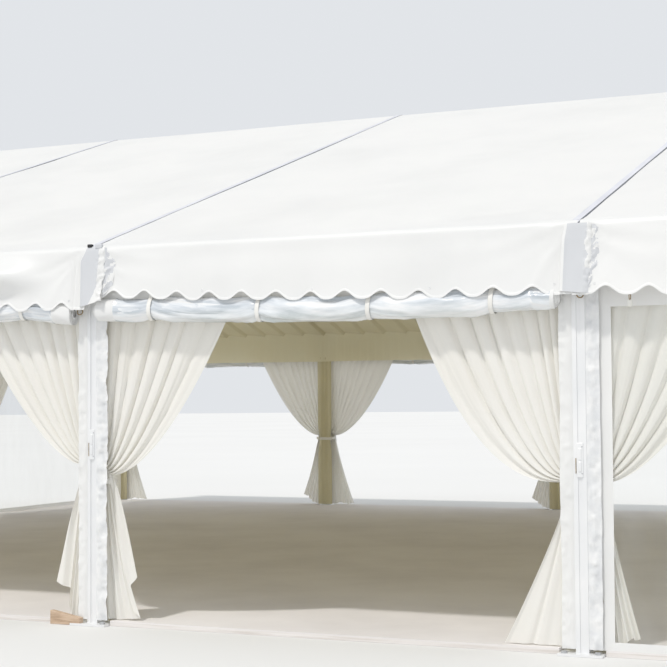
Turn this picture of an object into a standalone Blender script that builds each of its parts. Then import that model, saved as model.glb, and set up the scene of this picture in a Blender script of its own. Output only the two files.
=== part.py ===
"""A frame marquee of four bays: aluminium portal frames, a roof of white sheets with scalloped valances,
walls rolled up on the open bays, clear window walls on the closed ones, and a swagged drape on every leg.

Metres, +Z up. The ridge runs along X, the photographed long side faces -Y, and the ground is at Z = 0.
"""

import math

import bmesh
import bpy
from mathutils import Matrix, Vector

# Size of the tent
BAY_LENGTH = 3.0
BAY_COUNT = 4
SPAN = 10.0  # between the outer faces of the legs
RAFTER_END_HEIGHT = 2.27  # top of a rafter above its leg's outer face
ROOF_PITCH = math.radians(18.0)
GABLE_POSTS = 2

# Gap left between pieces that touch
TOUCH = 0.0003
WELD_DISTANCE = 0.00001
SHARP_ANGLE = math.radians(40)

# Aluminium sections
FRAME_WIDTH = 0.07  # legs and rafters, along the ridge
LEG_DEPTH = 0.12
RAFTER_DEPTH = 0.12
STRIP_WIDTH = 0.04  # the bare strip of rafter between two roof sheets
STRIP_HEIGHT = 0.008
GROOVE_WIDTH = 0.008  # the slot that holds a sheet's beaded edge
GROOVE_DEPTH = 0.008
GROOVE_SETBACK = 0.012  # from the section's face to its slot
CHANNEL_WIDTH = 0.024  # shallow channel down a leg's outer face
CHANNEL_DEPTH = 0.006
RAIL_SIZE = 0.05
GABLE_POST_DEPTH = 0.06  # along the ridge
GABLE_POST_WIDTH = 0.07
APEX_PLATE_LENGTH = 0.9
APEX_PLATE_DEPTH = 0.09
APEX_PLATE_THICKNESS = 0.006

# Base plates
PLATE_SIZE = 0.24
GABLE_PLATE_SIZE = 0.16
PLATE_THICKNESS = 0.012
STAKE_HOLE_RADIUS = 0.014
STAKE_HOLE_INSET = 0.03
STAKE_HOLE_SIDES = 10

# Sheets
SHEET = 0.004
FILM = 0.002
SCALLOPS_PER_BAY = 14
SCALLOP_HEIGHT = 0.045
STEPS_PER_SCALLOP = 4
SCALLOP_SAG = 0.006  # how far a valance's edge droops between its ends
VALANCE_DROP = 0.345
VALANCE_LEAN = math.radians(8.0)
VALANCE_MEETING_GAP = 0.0015  # half the gap between two valances at a frame

# Window walls
WINDOW_SIDE_BORDER = 0.135
WINDOW_SILL = 0.045  # above the floor
WINDOW_HEAD_DROP = 0.463  # below the rafters' ends, as every drop here is
FILM_LAP = 0.015
GABLE_WALL_TOP_LAP = 0.02  # how far a gable wall reaches up its rail

# Rolled-up walls
ROLL_HALF_HEIGHT = 0.11
ROLL_HALF_DEPTH = 0.048
ROLL_BOTTOM_DROP = 0.5
ROLL_END_SETBACK = 0.092  # from a frame's centre
ROLL_SETBACK = 0.044  # the roll's axis outside the legs' outer face
ROLL_SIDES = 12
STRAP_COUNT = 4
STRAP_WIDTH = 0.025
STRAP_THICKNESS = 0.003
STRAP_SPACING = 0.7
STRAP_LAP = 0.015  # how far a strap runs up the face of the rail

# Drapes
DRAPE_THICKNESS = 0.05
DRAPE_REACH = 1.05  # from the leg's centre, at the top
DRAPE_WAIST = 0.115
DRAPE_WAIST_TOP = 0.89
DRAPE_WAIST_BOTTOM = 0.80
DRAPE_FOOT = 0.36
DRAPE_SWEEP_POWER = 0.58
DRAPE_FLARE_POWER = 1.3
DRAPE_STEPS = 7
DRAPE_SETBACK = 0.008  # behind a window wall's film
TIE_HEIGHT = 0.06
TIE_THICKNESS = 0.006
HEADER_HEIGHT = 0.04

# Inside
LINING_THICKNESS = 0.008
PELMET_DROP = 0.45
LINING_END_GAP = 0.005
FLOOR_THICKNESS = 0.03
FLOOR_NOTCH_GAP = 0.005

# Worked out from the sizes above
TENT_LENGTH = BAY_LENGTH * BAY_COUNT
HALF_SPAN = SPAN / 2
FRAME_X = [i * BAY_LENGTH - TENT_LENGTH / 2 for i in range(BAY_COUNT + 1)]
BAY_X = [x + BAY_LENGTH / 2 for x in FRAME_X[:-1]]
RISE = math.tan(ROOF_PITCH)
RIDGE_HEIGHT = RAFTER_END_HEIGHT + HALF_SPAN * RISE
RAFTER_DROP = RAFTER_DEPTH / math.cos(ROOF_PITCH)  # the rafter's depth, measured plumb
RAIL_OUTER = HALF_SPAN + TOUCH + RAIL_SIZE
VALANCE_Y = RAIL_OUTER + TOUCH
GROOVE_CENTRE = GROOVE_SETBACK + GROOVE_WIDTH / 2
FILM_BACK = GROOVE_CENTRE + SHEET / 2 + TOUCH + FILM
DRAPE_FRONT = FILM_BACK + DRAPE_SETBACK
END_FACE = TENT_LENGTH / 2 + FRAME_WIDTH / 2  # outer face of the end frames
GABLE_FILM_X = END_FACE + TOUCH
GABLE_WALL_X = GABLE_FILM_X + FILM + TOUCH
GABLE_PANEL_X = GABLE_WALL_X + SHEET + TOUCH
GABLE_POST_Y = [SPAN * (i + 1) / (GABLE_POSTS + 1) - HALF_SPAN for i in range(GABLE_POSTS)]


def strip_height(y):
    """Top of the bare rafter strip."""
    return RIDGE_HEIGHT - abs(y) * RISE


def sheet_bottom(y):
    """Underside of the roof sheet, just off the rafter's shoulder."""
    return strip_height(y) - STRIP_HEIGHT + TOUCH


def rafter_bottom(y):
    return strip_height(y) - RAFTER_DROP


RAIL_TOP = sheet_bottom(RAIL_OUTER) - TOUCH
GABLE_RAIL_TOP = rafter_bottom(HALF_SPAN - LEG_DEPTH) - TOUCH
DRAPE_TOP = GABLE_RAIL_TOP - RAIL_SIZE - TOUCH
ROLL_BOTTOM = RAFTER_END_HEIGHT - ROLL_BOTTOM_DROP
PELMET_BOTTOM = RAFTER_END_HEIGHT - PELMET_DROP
FLOOR_TOP = FLOOR_THICKNESS
WINDOW_BOTTOM = FLOOR_TOP + WINDOW_SILL
WINDOW_TOP = RAFTER_END_HEIGHT - WINDOW_HEAD_DROP

# Materials: colour, roughness, metallic, alpha
FINISHES = {
    "aluminium": ((0.62, 0.64, 0.67), 0.35, 1.0, 1.0),
    "white_pvc": ((0.92, 0.92, 0.90), 0.45, 0.0, 1.0),
    "clear_film": ((0.80, 0.85, 0.86), 0.08, 0.0, 0.3),
    "rolled_film": ((0.78, 0.83, 0.85), 0.15, 0.0, 1.0),
    "ivory_drape": ((0.93, 0.91, 0.84), 0.8, 0.0, 1.0),
    "ivory_lining": ((0.88, 0.84, 0.74), 0.85, 0.0, 1.0),
    "floor_carpet": ((0.78, 0.74, 0.70), 0.95, 0.0, 1.0),
}


def clear_scene():
    for old in list(bpy.data.objects):
        bpy.data.objects.remove(old, do_unlink=True)


def make_materials():
    made = {}
    for name, (colour, roughness, metallic, alpha) in FINISHES.items():
        material = bpy.data.materials.new(name)
        material.use_nodes = True
        shader = material.node_tree.nodes["Principled BSDF"]
        shader.inputs["Base Color"].default_value = (*colour, 1.0)
        shader.inputs["Roughness"].default_value = roughness
        shader.inputs["Metallic"].default_value = metallic
        shader.inputs["Alpha"].default_value = alpha
        material.diffuse_color = (*colour, alpha)
        made[name] = material
    return made


def new_object(name, mesh):
    obj = bpy.data.objects.new(name, mesh)
    TENT.objects.link(obj)
    return obj


def finished(obj, finish, name=None, location=(0, 0, 0), turn=0.0):
    """Gives a piece its material, its name and its place."""
    if not obj.data.materials:
        obj.data.materials.append(MATERIALS[finish])
    if name:
        obj.name = name
    obj.location = location
    obj.rotation_euler.z = turn
    return obj


def repeated(first, name, location, turn=0.0):
    """Another piece with the same mesh."""
    copy = new_object(name, first.data)
    copy.location = location
    copy.rotation_euler.z = turn
    return copy


# Each plane's matrix takes a flat outline to its plane; the extrusion runs along the axis left over.
PLANES = {
    "XY": Matrix.Identity(4),
    "YZ": Matrix(((0, 0, 1, 0), (1, 0, 0, 0), (0, 1, 0, 0), (0, 0, 0, 1))),
    "XZ": Matrix(((1, 0, 0, 0), (0, 0, -1, 0), (0, 1, 0, 0), (0, 0, 0, 1))),
}


def plate(name, outlines, plane, low, high):
    """A flat shape with holes: its outlines in a plane, thickened from low to high along the third axis."""
    curve = bpy.data.curves.new(name, "CURVE")
    curve.dimensions = "2D"
    curve.fill_mode = "BOTH"
    curve.extrude = (high - low) / 2
    for outline in outlines:
        spline = curve.splines.new("POLY")
        spline.points.add(len(outline) - 1)
        for point, (u, v) in zip(spline.points, outline):
            point.co = (u, v, 0, 1)
        spline.use_cyclic_u = True
    guide = new_object(name, curve)
    bpy.context.view_layer.update()
    seen = guide.evaluated_get(bpy.context.evaluated_depsgraph_get())
    mesh = bpy.data.meshes.new_from_object(seen)
    bpy.data.objects.remove(guide)
    middle = (low + high) / 2
    along = {"XY": (0, 0, middle), "YZ": (middle, 0, 0), "XZ": (0, middle, 0)}[plane]
    mesh.transform(Matrix.Translation(along) @ PLANES[plane])
    shape = bmesh.new()
    shape.from_mesh(mesh)
    bmesh.ops.remove_doubles(shape, verts=shape.verts, dist=WELD_DISTANCE)
    bmesh.ops.recalc_face_normals(shape, faces=shape.faces)
    shape.to_mesh(mesh)
    shape.free()
    return new_object(name, mesh)


def rectangle(u_low, v_low, u_high, v_high):
    return [(u_low, v_low), (u_high, v_low), (u_high, v_high), (u_low, v_high)]


def box(name, low, high):
    shape = bmesh.new()
    bmesh.ops.create_cube(shape, size=1.0)
    low, high = Vector(low), Vector(high)
    bmesh.ops.scale(shape, vec=high - low, verts=shape.verts)
    bmesh.ops.translate(shape, vec=(low + high) / 2, verts=shape.verts)
    mesh = bpy.data.meshes.new(name)
    shape.to_mesh(mesh)
    shape.free()
    return new_object(name, mesh)


def drum(name, sides, radii, low, high, axis, centre):
    """An upright or lying drum: radii are its two half-widths across the axis, which is X or Z."""
    shape = bmesh.new()
    bmesh.ops.create_cone(
        shape, cap_ends=True, segments=sides, radius1=1.0, radius2=1.0, depth=high - low
    )
    bmesh.ops.scale(shape, vec=(radii[0], radii[1], 1.0), verts=shape.verts)
    bmesh.ops.translate(shape, vec=(0, 0, (low + high) / 2), verts=shape.verts)
    if axis == "X":
        bmesh.ops.transform(shape, matrix=PLANES["YZ"], verts=shape.verts)
    bmesh.ops.translate(shape, vec=centre, verts=shape.verts)
    mesh = bpy.data.meshes.new(name)
    shape.to_mesh(mesh)
    shape.free()
    return new_object(name, mesh)


def combined(base, others, operation):
    """The base joined with, or cut by, the others, which are used up."""
    for other in others:
        modifier = base.modifiers.new(operation.lower(), "BOOLEAN")
        modifier.operation = operation
        modifier.solver = "EXACT"
        modifier.object = other
    bpy.context.view_layer.update()
    seen = base.evaluated_get(bpy.context.evaluated_depsgraph_get())
    mesh = bpy.data.meshes.new_from_object(seen)
    name = base.name
    for used in (base, *others):
        bpy.data.objects.remove(used)
    return new_object(name, mesh)


def joined(base, *others):
    return combined(base, others, "UNION")


def smoothed(obj):
    """Shades a round piece smooth, with its edges kept sharp."""
    obj.data.shade_smooth()
    obj.data.set_sharp_from_angle(angle=SHARP_ANGLE)
    return obj


def cut(base, *cutters):
    return combined(base, cutters, "DIFFERENCE")


# Frames


def leg_profile():
    """Half a leg's section, with its slots and its channel, mirrored. Y is 0 at the outer face."""
    half = FRAME_WIDTH / 2
    outer = [GROOVE_SETBACK, GROOVE_SETBACK + GROOVE_WIDTH]
    inner = [LEG_DEPTH - GROOVE_SETBACK - GROOVE_WIDTH, LEG_DEPTH - GROOVE_SETBACK]
    points = [(CHANNEL_WIDTH / 2, CHANNEL_DEPTH), (CHANNEL_WIDTH / 2, 0), (half, 0)]
    for low, high in (outer, inner):
        points += [(half, low), (half - GROOVE_DEPTH, low), (half - GROOVE_DEPTH, high), (half, high)]
    points.append((half, LEG_DEPTH))
    return points + [(-x, y) for x, y in reversed(points)]


def base_plate(centre_y):
    """A steel foot with a stake hole at each outer corner."""
    half = PLATE_SIZE / 2
    foot = box("foot", (-half, centre_y - half, 0), (half, centre_y + half, PLATE_THICKNESS))
    reach = half - STAKE_HOLE_INSET
    holes = [
        drum(
            "stake_hole",
            STAKE_HOLE_SIDES,
            (STAKE_HOLE_RADIUS, STAKE_HOLE_RADIUS),
            -PLATE_THICKNESS,
            2 * PLATE_THICKNESS,
            "Z",
            (side * reach, centre_y - reach, 0),
        )
        for side in (-1, 1)
    ]
    return cut(foot, *holes)


def leg():
    """A slotted leg on its base plate, with its head cut to the rafter's slope."""
    head = rafter_bottom(HALF_SPAN - LEG_DEPTH)
    post = plate("leg", [leg_profile()], "XY", PLATE_THICKNESS / 2, head + RAIL_SIZE)
    outer = rafter_bottom(HALF_SPAN) - TOUCH
    slope = RISE * LEG_DEPTH
    margin = LEG_DEPTH
    waste = [
        (-margin, outer - RISE * margin),
        (LEG_DEPTH + margin, outer + slope + RISE * margin),
        (LEG_DEPTH + margin, outer + slope + RISE * margin + SPAN),
        (-margin, outer - RISE * margin + SPAN),
    ]
    post = cut(post, plate("head_cut", [waste], "YZ", -FRAME_WIDTH, FRAME_WIDTH))
    return joined(post, base_plate(LEG_DEPTH / 2))


def make_legs():
    first = None
    for side, y, turn in (("front", -HALF_SPAN, 0.0), ("back", HALF_SPAN, math.pi)):
        for i, x in enumerate(FRAME_X):
            name = f"leg_{side}_{i + 1}"
            if first is None:
                first = finished(leg(), "aluminium", name, (x, y, 0), turn)
            else:
                repeated(first, name, (x, y, 0), turn)


def chevron(half_width, upper, lower):
    """The outline of a roof-shaped band between two heights given as functions of y."""
    return [
        (-half_width, upper(half_width)),
        (-half_width, lower(half_width)),
        (0, lower(0)),
        (half_width, lower(half_width)),
        (half_width, upper(half_width)),
        (0, upper(0)),
    ]


def rafter_pair():
    """Two rafters and the plates that bolt them at the apex, with a seat for the ridge rail."""
    half = FRAME_WIDTH / 2
    shoulder = chevron(HALF_SPAN, lambda y: strip_height(y) - STRIP_HEIGHT, rafter_bottom)
    beam = plate("rafters", [shoulder], "YZ", -half, half)
    strip = plate(
        "strip",
        [chevron(HALF_SPAN, strip_height, lambda y: strip_height(y) - 2 * STRIP_HEIGHT)],
        "YZ",
        -STRIP_WIDTH / 2,
        STRIP_WIDTH / 2,
    )
    margin = (RAFTER_DEPTH - APEX_PLATE_DEPTH) / 2
    fish_plate = plate(
        "fish_plate",
        [
            chevron(
                APEX_PLATE_LENGTH / 2,
                lambda y: rafter_bottom(y) + margin + APEX_PLATE_DEPTH,
                lambda y: rafter_bottom(y) + margin,
            )
        ],
        "YZ",
        -half - APEX_PLATE_THICKNESS,
        half + APEX_PLATE_THICKNESS,
    )
    beam = joined(beam, strip, fish_plate)
    rail_low, rail_high = ridge_rail_heights()
    seat = box(
        "rail_seat",
        (-FRAME_WIDTH, -RAIL_SIZE / 2 - TOUCH, rail_low - TOUCH),
        (FRAME_WIDTH, RAIL_SIZE / 2 + TOUCH, rail_high + TOUCH),
    )
    return cut(beam, seat)


def ridge_rail_heights():
    top = sheet_bottom(RAIL_SIZE / 2) - TOUCH
    return top - RAIL_SIZE, top


def make_rafters():
    first = None
    for i, x in enumerate(FRAME_X):
        name = f"rafters_{i + 1}"
        if first is None:
            first = finished(rafter_pair(), "aluminium", name, (x, 0, 0))
        else:
            repeated(first, name, (x, 0, 0))


def make_rails():
    """Square rails along both eaves, on the legs' outer faces, and one along the ridge."""
    for side, sign in (("front", -1), ("back", 1)):
        near, far = sorted((sign * (HALF_SPAN + TOUCH), sign * RAIL_OUTER))
        rail = box(
            f"eaves_rail_{side}",
            (-END_FACE, near, RAIL_TOP - RAIL_SIZE),
            (END_FACE, far, RAIL_TOP),
        )
        finished(rail, "aluminium")
    low, high = ridge_rail_heights()
    ridge = box("ridge_rail", (-END_FACE, -RAIL_SIZE / 2, low), (END_FACE, RAIL_SIZE / 2, high))
    finished(ridge, "aluminium")


def gable_frame():
    """Two posts under an end rafter and the rail across them. X is 0 at the frame's centre, outside is +X."""
    face = FRAME_WIDTH / 2
    inner_leg = HALF_SPAN - LEG_DEPTH - TOUCH
    rail_low = GABLE_RAIL_TOP - RAIL_SIZE
    frame = box(
        "gable_frame", (face - RAIL_SIZE, -inner_leg, rail_low), (face, inner_leg, GABLE_RAIL_TOP)
    )
    posts = []
    for y in GABLE_POST_Y:
        low_y, high_y = y - GABLE_POST_WIDTH / 2, y + GABLE_POST_WIDTH / 2
        outline = [
            (low_y, PLATE_THICKNESS / 2),
            (high_y, PLATE_THICKNESS / 2),
            (high_y, rafter_bottom(high_y) - TOUCH),
            (low_y, rafter_bottom(low_y) - TOUCH),
        ]
        if low_y < 0 < high_y:
            outline.insert(3, (0, rafter_bottom(0) - TOUCH))
        posts.append(plate("post", [outline], "YZ", face - GABLE_POST_DEPTH, face))
        centre = face - GABLE_POST_DEPTH / 2
        half = GABLE_PLATE_SIZE / 2
        posts.append(
            box("foot", (centre - half, y - half, 0), (centre + half, y + half, PLATE_THICKNESS))
        )
    return joined(frame, *posts)


def make_gable_frames():
    right = finished(
        gable_frame(), "aluminium", "gable_frame_right", (TENT_LENGTH / 2, 0, 0)
    )
    repeated(right, "gable_frame_left", (-TENT_LENGTH / 2, 0, 0), math.pi)


# Roof sheets


def scallop_edge(length, count):
    """A wavy edge from -length/2 to length/2: (distance along, rise above the lowest lobe's tip)."""
    steps = count * STEPS_PER_SCALLOP
    edge = []
    for i in range(steps + 1):
        wave = SCALLOP_HEIGHT * (1 + math.cos(2 * math.pi * i / STEPS_PER_SCALLOP)) / 2
        across = 2 * i / steps - 1
        edge.append((length * across / 2, wave + SCALLOP_SAG * across**2))
    return edge


def side_valance(name, low_x, high_x):
    """The front edge of a roof sheet: it hangs from the eaves rail and leans out over the rolled wall."""
    length = high_x - low_x
    middle = (low_x + high_x) / 2
    count = round(SCALLOPS_PER_BAY * length / BAY_LENGTH)
    outline = [
        (middle + x, rise - VALANCE_DROP) for x, rise in scallop_edge(length, count)
    ]
    outline += [(high_x, SHEET / 2), (low_x, SHEET / 2)]
    valance = plate(name, [outline], "XZ", -SHEET, 0)
    valance.data.transform(
        Matrix.Translation((0, -VALANCE_Y, sheet_bottom(VALANCE_Y)))
        @ Matrix.Rotation(-VALANCE_LEAN, 4, "X")
    )
    return valance


def roof_sheet(bay):
    """One bay's sheet from valance to valance, with X at 0 on the bay's centre."""
    reach = BAY_LENGTH / 2
    edge = reach - STRIP_WIDTH / 2 - TOUCH
    half_width = VALANCE_Y + SHEET * math.cos(VALANCE_LEAN)
    outline = chevron(half_width, lambda y: sheet_bottom(y) + SHEET, sheet_bottom)
    slopes = plate("roof_sheet", [outline], "YZ", -edge, edge)
    at_start, at_end = bay == 0, bay == BAY_COUNT - 1
    gable_reach = reach + FRAME_WIDTH / 2 + (GABLE_PANEL_X - TOUCH - END_FACE)
    low_x = -(gable_reach if at_start else reach - VALANCE_MEETING_GAP)
    high_x = gable_reach if at_end else reach - VALANCE_MEETING_GAP
    front = side_valance("front_valance", low_x, high_x)
    back = side_valance("back_valance", -high_x, -low_x)
    back.data.transform(Matrix.Rotation(math.pi, 4, "Z"))
    return joined(slopes, front, back)


def make_roof():
    for bay, x in enumerate(BAY_X):
        finished(roof_sheet(bay), "white_pvc", f"roof_sheet_{bay + 1}", (x, 0, 0))


def gable_panel():
    """The triangle over a gable with its scalloped edge, and the hem over the end rafter's shoulder."""
    count = round(SCALLOPS_PER_BAY * SPAN / BAY_LENGTH)
    lobes = sheet_bottom(VALANCE_Y) - VALANCE_DROP
    outline = [(y, lobes + rise) for y, rise in scallop_edge(2 * VALANCE_Y, count)]
    outline += [
        (VALANCE_Y, sheet_bottom(VALANCE_Y) + SHEET),
        (0, sheet_bottom(0) + SHEET),
        (-VALANCE_Y, sheet_bottom(VALANCE_Y) + SHEET),
    ]
    panel = plate("gable_panel", [outline], "YZ", GABLE_PANEL_X, GABLE_PANEL_X + SHEET)
    hem = plate(
        "hem",
        [chevron(HALF_SPAN, lambda y: sheet_bottom(y) + SHEET, sheet_bottom)],
        "YZ",
        TENT_LENGTH / 2 + STRIP_WIDTH / 2 + TOUCH,
        GABLE_PANEL_X + SHEET / 2,
    )
    return joined(panel, hem)


def make_gable_panels():
    right = finished(gable_panel(), "white_pvc", "gable_panel_right")
    repeated(right, "gable_panel_left", (0, 0, 0), math.pi)


# Walls. Side walls are built on the front wall: X is 0 at the bay's centre, Y is 0 at the legs' outer face.


def window_wall():
    """A sheet between two legs, with a window hole, and beads in the legs' slots."""
    half = BAY_LENGTH / 2 - FRAME_WIDTH / 2 - TOUCH
    window = half - WINDOW_SIDE_BORDER
    bottom, top = FLOOR_TOP + TOUCH, RAIL_TOP - RAIL_SIZE / 2
    wall = plate(
        "window_wall",
        [rectangle(-half, bottom, half, top), rectangle(-window, WINDOW_BOTTOM, window, WINDOW_TOP)],
        "XZ",
        GROOVE_CENTRE - SHEET / 2,
        GROOVE_CENTRE + SHEET / 2,
    )
    bead = GROOVE_WIDTH / 2 - TOUCH
    bead_top = rafter_bottom(HALF_SPAN) - TOUCH
    slot_end = half + GROOVE_DEPTH
    beads = []
    for side in (-1, 1):
        low_x, high_x = sorted((side * (slot_end - 2 * bead), side * slot_end))
        bead_low = (low_x, GROOVE_CENTRE - bead, bottom)
        beads.append(box("bead", bead_low, (high_x, GROOVE_CENTRE + bead, bead_top)))
        low_x, high_x = sorted((side * (half - SHEET), side * (slot_end - bead)))
        beads.append(
            box(
                "edge",
                (low_x, GROOVE_CENTRE - SHEET / 4, bottom + SHEET),
                (high_x, GROOVE_CENTRE + SHEET / 4, bead_top - SHEET),
            )
        )
    return joined(wall, *beads)


def window_film():
    half = BAY_LENGTH / 2 - FRAME_WIDTH / 2 - TOUCH - WINDOW_SIDE_BORDER + FILM_LAP
    return box(
        "window_film",
        (-half, FILM_BACK - FILM, WINDOW_BOTTOM - FILM_LAP),
        (half, FILM_BACK, WINDOW_TOP + FILM_LAP),
    )


def rolled_wall():
    """A wall rolled up under the valance, hung from the eaves rail by its straps."""
    half_length = BAY_LENGTH / 2 - ROLL_END_SETBACK
    axis = (0, -ROLL_SETBACK, ROLL_BOTTOM + ROLL_HALF_HEIGHT)
    radii = (ROLL_HALF_DEPTH, ROLL_HALF_HEIGHT)
    roll = drum("rolled_wall", ROLL_SIDES, radii, -half_length, half_length, "X", axis)
    strap_radii = tuple(r + STRAP_THICKNESS for r in radii)
    rail_face = -(RAIL_OUTER - HALF_SPAN) - TOUCH
    straps = []
    for i in range(STRAP_COUNT):
        x = (i - (STRAP_COUNT - 1) / 2) * STRAP_SPACING
        low_x, high_x = x - STRAP_WIDTH / 2, x + STRAP_WIDTH / 2
        straps.append(drum("loop", ROLL_SIDES, strap_radii, low_x, high_x, "X", axis))
        straps.append(
            box(
                "strap",
                (low_x, rail_face - STRAP_THICKNESS, axis[2]),
                (high_x, rail_face, RAIL_TOP - RAIL_SIZE + STRAP_LAP),
            )
        )
    return smoothed(joined(roll, *straps))


def make_side_walls():
    """The last bay of each long side is closed by a window wall; the others have theirs rolled up."""
    closed = BAY_COUNT - 1
    pieces = {
        "window_wall": (window_wall, "white_pvc"),
        "window_film": (window_film, "clear_film"),
        "rolled_wall": (rolled_wall, "rolled_film"),
    }
    first = {}
    for side, y, turn in (("front", -HALF_SPAN, 0.0), ("back", HALF_SPAN, math.pi)):
        for bay, x in enumerate(BAY_X):
            kinds = ("window_wall", "window_film") if bay == closed else ("rolled_wall",)
            for kind in kinds:
                name = f"{kind}_{side}" if bay == closed else f"{kind}_{side}_{bay + 1}"
                if kind in first:
                    repeated(first[kind], name, (x, y, 0), turn)
                else:
                    build, finish = pieces[kind]
                    first[kind] = finished(build(), finish, name, (x, y, 0), turn)


def make_gable_walls():
    """A sheet across each gable with a window in every gable bay, and one clear film behind them."""
    bottom, top = FLOOR_TOP + TOUCH, GABLE_RAIL_TOP - RAIL_SIZE + GABLE_WALL_TOP_LAP
    film_end = HALF_SPAN - LEG_DEPTH - TOUCH
    starts = [-film_end + FILM_LAP] + [y + WINDOW_SIDE_BORDER for y in GABLE_POST_Y]
    ends = [y - WINDOW_SIDE_BORDER for y in GABLE_POST_Y] + [film_end - FILM_LAP]
    windows = [rectangle(low, WINDOW_BOTTOM, high, WINDOW_TOP) for low, high in zip(starts, ends)]
    wall = plate(
        "gable_wall_right",
        [rectangle(-HALF_SPAN, bottom, HALF_SPAN, top), *windows],
        "YZ",
        GABLE_WALL_X,
        GABLE_WALL_X + SHEET,
    )
    finished(wall, "white_pvc")
    repeated(wall, "gable_wall_left", (0, 0, 0), math.pi)
    film = box(
        "gable_film_right",
        (GABLE_FILM_X, -film_end, WINDOW_BOTTOM - FILM_LAP),
        (GABLE_FILM_X + FILM, film_end, WINDOW_TOP + FILM_LAP),
    )
    finished(film, "clear_film")
    repeated(film, "gable_film_left", (0, 0, 0), math.pi)


# Drapes


def drape_outline(post_face):
    """One wing of a swagged drape: (distance from the post's centre, height)."""
    outline = [(post_face + TOUCH, FLOOR_TOP + TOUCH)]
    floor_to_waist = DRAPE_WAIST_BOTTOM - FLOOR_TOP - TOUCH
    for i in range(DRAPE_STEPS, -1, -1):
        share = i / DRAPE_STEPS
        flare = (DRAPE_FOOT - DRAPE_WAIST) * share**DRAPE_FLARE_POWER
        outline.append((DRAPE_WAIST + flare, DRAPE_WAIST_BOTTOM - floor_to_waist * share))
    for i in range(DRAPE_STEPS + 1):
        share = (i / DRAPE_STEPS) ** 2
        sweep = (DRAPE_REACH - DRAPE_WAIST) * share**DRAPE_SWEEP_POWER
        outline.append((DRAPE_WAIST + sweep, DRAPE_WAIST_TOP + (DRAPE_TOP - DRAPE_WAIST_TOP) * share))
    outline.append((post_face + TOUCH, DRAPE_TOP))
    return outline


def wing(post_face, side, front):
    outline = [(side * d, z) for d, z in drape_outline(post_face)]
    return plate("wing", [outline], "XZ", front, front + DRAPE_THICKNESS)


def tie_heights():
    middle = (DRAPE_WAIST_TOP + DRAPE_WAIST_BOTTOM) / 2
    return middle - TIE_HEIGHT / 2, middle + TIE_HEIGHT / 2


def drape_pair(name, post_face, post_depth, front):
    """Two wings gathered to a post, joined by the tie that passes behind it."""
    reach = DRAPE_WAIST - TIE_THICKNESS
    inner = post_face + TOUCH
    back = post_depth + TOUCH
    lap = front + DRAPE_THICKNESS / 2
    tie = plate(
        "tie",
        [
            [
                (-reach, lap),
                (-inner, lap),
                (-inner, back),
                (inner, back),
                (inner, lap),
                (reach, lap),
                (reach, back + TIE_THICKNESS),
                (-reach, back + TIE_THICKNESS),
            ]
        ],
        "XY",
        *tie_heights(),
    )
    pair = joined(tie, wing(post_face, -1, front), wing(post_face, 1, front))
    pair.name = name
    return smoothed(pair)


def corner_drape(name, side):
    """A corner leg's drape: one wing along the bay, one along the gable, joined by the tie inside the corner.

    Side is +1 where the bay lies towards +X. The gable's wing is built along +Y.
    """
    half_frame = FRAME_WIDTH / 2
    bay_wing = wing(half_frame, side, DRAPE_FRONT)
    thin = min(DRAPE_THICKNESS, GABLE_POST_DEPTH)
    gable_outline = [(LEG_DEPTH - half_frame + d, z) for d, z in drape_outline(half_frame)]
    gable_wing = plate("wing", [gable_outline], "YZ", -thin / 2, thin / 2)
    inner = half_frame + TOUCH
    reach = DRAPE_WAIST - TIE_THICKNESS
    lap = DRAPE_FRONT + DRAPE_THICKNESS / 2
    back = LEG_DEPTH + TOUCH
    deep = back + (reach - half_frame)
    points = [
        (side * inner, lap),
        (side * reach, lap),
        (side * reach, deep),
        (0, deep),
        (0, back),
        (side * inner, back),
    ]
    tie = plate("tie", [points], "XY", *tie_heights())
    drape = joined(tie, bay_wing, gable_wing)
    drape.name = name
    return smoothed(drape)


def make_drapes():
    last = len(FRAME_X) - 1
    middle = None
    corners = {}
    for side, y, turn in (("front", -HALF_SPAN, 0.0), ("back", HALF_SPAN, math.pi)):
        for i, x in enumerate(FRAME_X):
            name = f"drape_{side}_{i + 1}"
            if 0 < i < last:
                if middle is None:
                    middle = drape_pair(name, FRAME_WIDTH / 2, LEG_DEPTH, DRAPE_FRONT)
                    finished(middle, "ivory_drape", name, (x, y, 0), turn)
                else:
                    repeated(middle, name, (x, y, 0), turn)
                continue
            towards = (1 if i == 0 else -1) * (1 if side == "front" else -1)
            if towards in corners:
                repeated(corners[towards], name, (x, y, 0), turn)
            else:
                corners[towards] = finished(
                    corner_drape(name, towards), "ivory_drape", name, (x, y, 0), turn
                )


def gable_drapes():
    """The drapes on one gable's posts, joined by the header that carries them. Built on the front, then turned."""
    front = (GABLE_POST_DEPTH - DRAPE_THICKNESS) / 2
    pairs = []
    for y in GABLE_POST_Y:
        pair = drape_pair("pair", GABLE_POST_WIDTH / 2, GABLE_POST_DEPTH, front)
        pair.data.transform(Matrix.Translation((y, 0, 0)))
        pairs.append(pair)
    inside = GABLE_POST_DEPTH + TOUCH
    header = box(
        "header",
        (GABLE_POST_Y[0], inside, DRAPE_TOP - HEADER_HEIGHT),
        (GABLE_POST_Y[-1], inside + TIE_THICKNESS, DRAPE_TOP),
    )
    tabs = []
    for y in GABLE_POST_Y:
        for side in (-1, 1):
            near = y + side * (GABLE_POST_WIDTH / 2 + TOUCH)
            far = y + side * DRAPE_WAIST
            tabs.append(
                box(
                    "tab",
                    (min(near, far), front + DRAPE_THICKNESS / 2, DRAPE_TOP - HEADER_HEIGHT),
                    (max(near, far), inside + TIE_THICKNESS / 2, DRAPE_TOP - TIE_THICKNESS),
                )
            )
    return joined(header, *pairs, *tabs)


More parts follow.
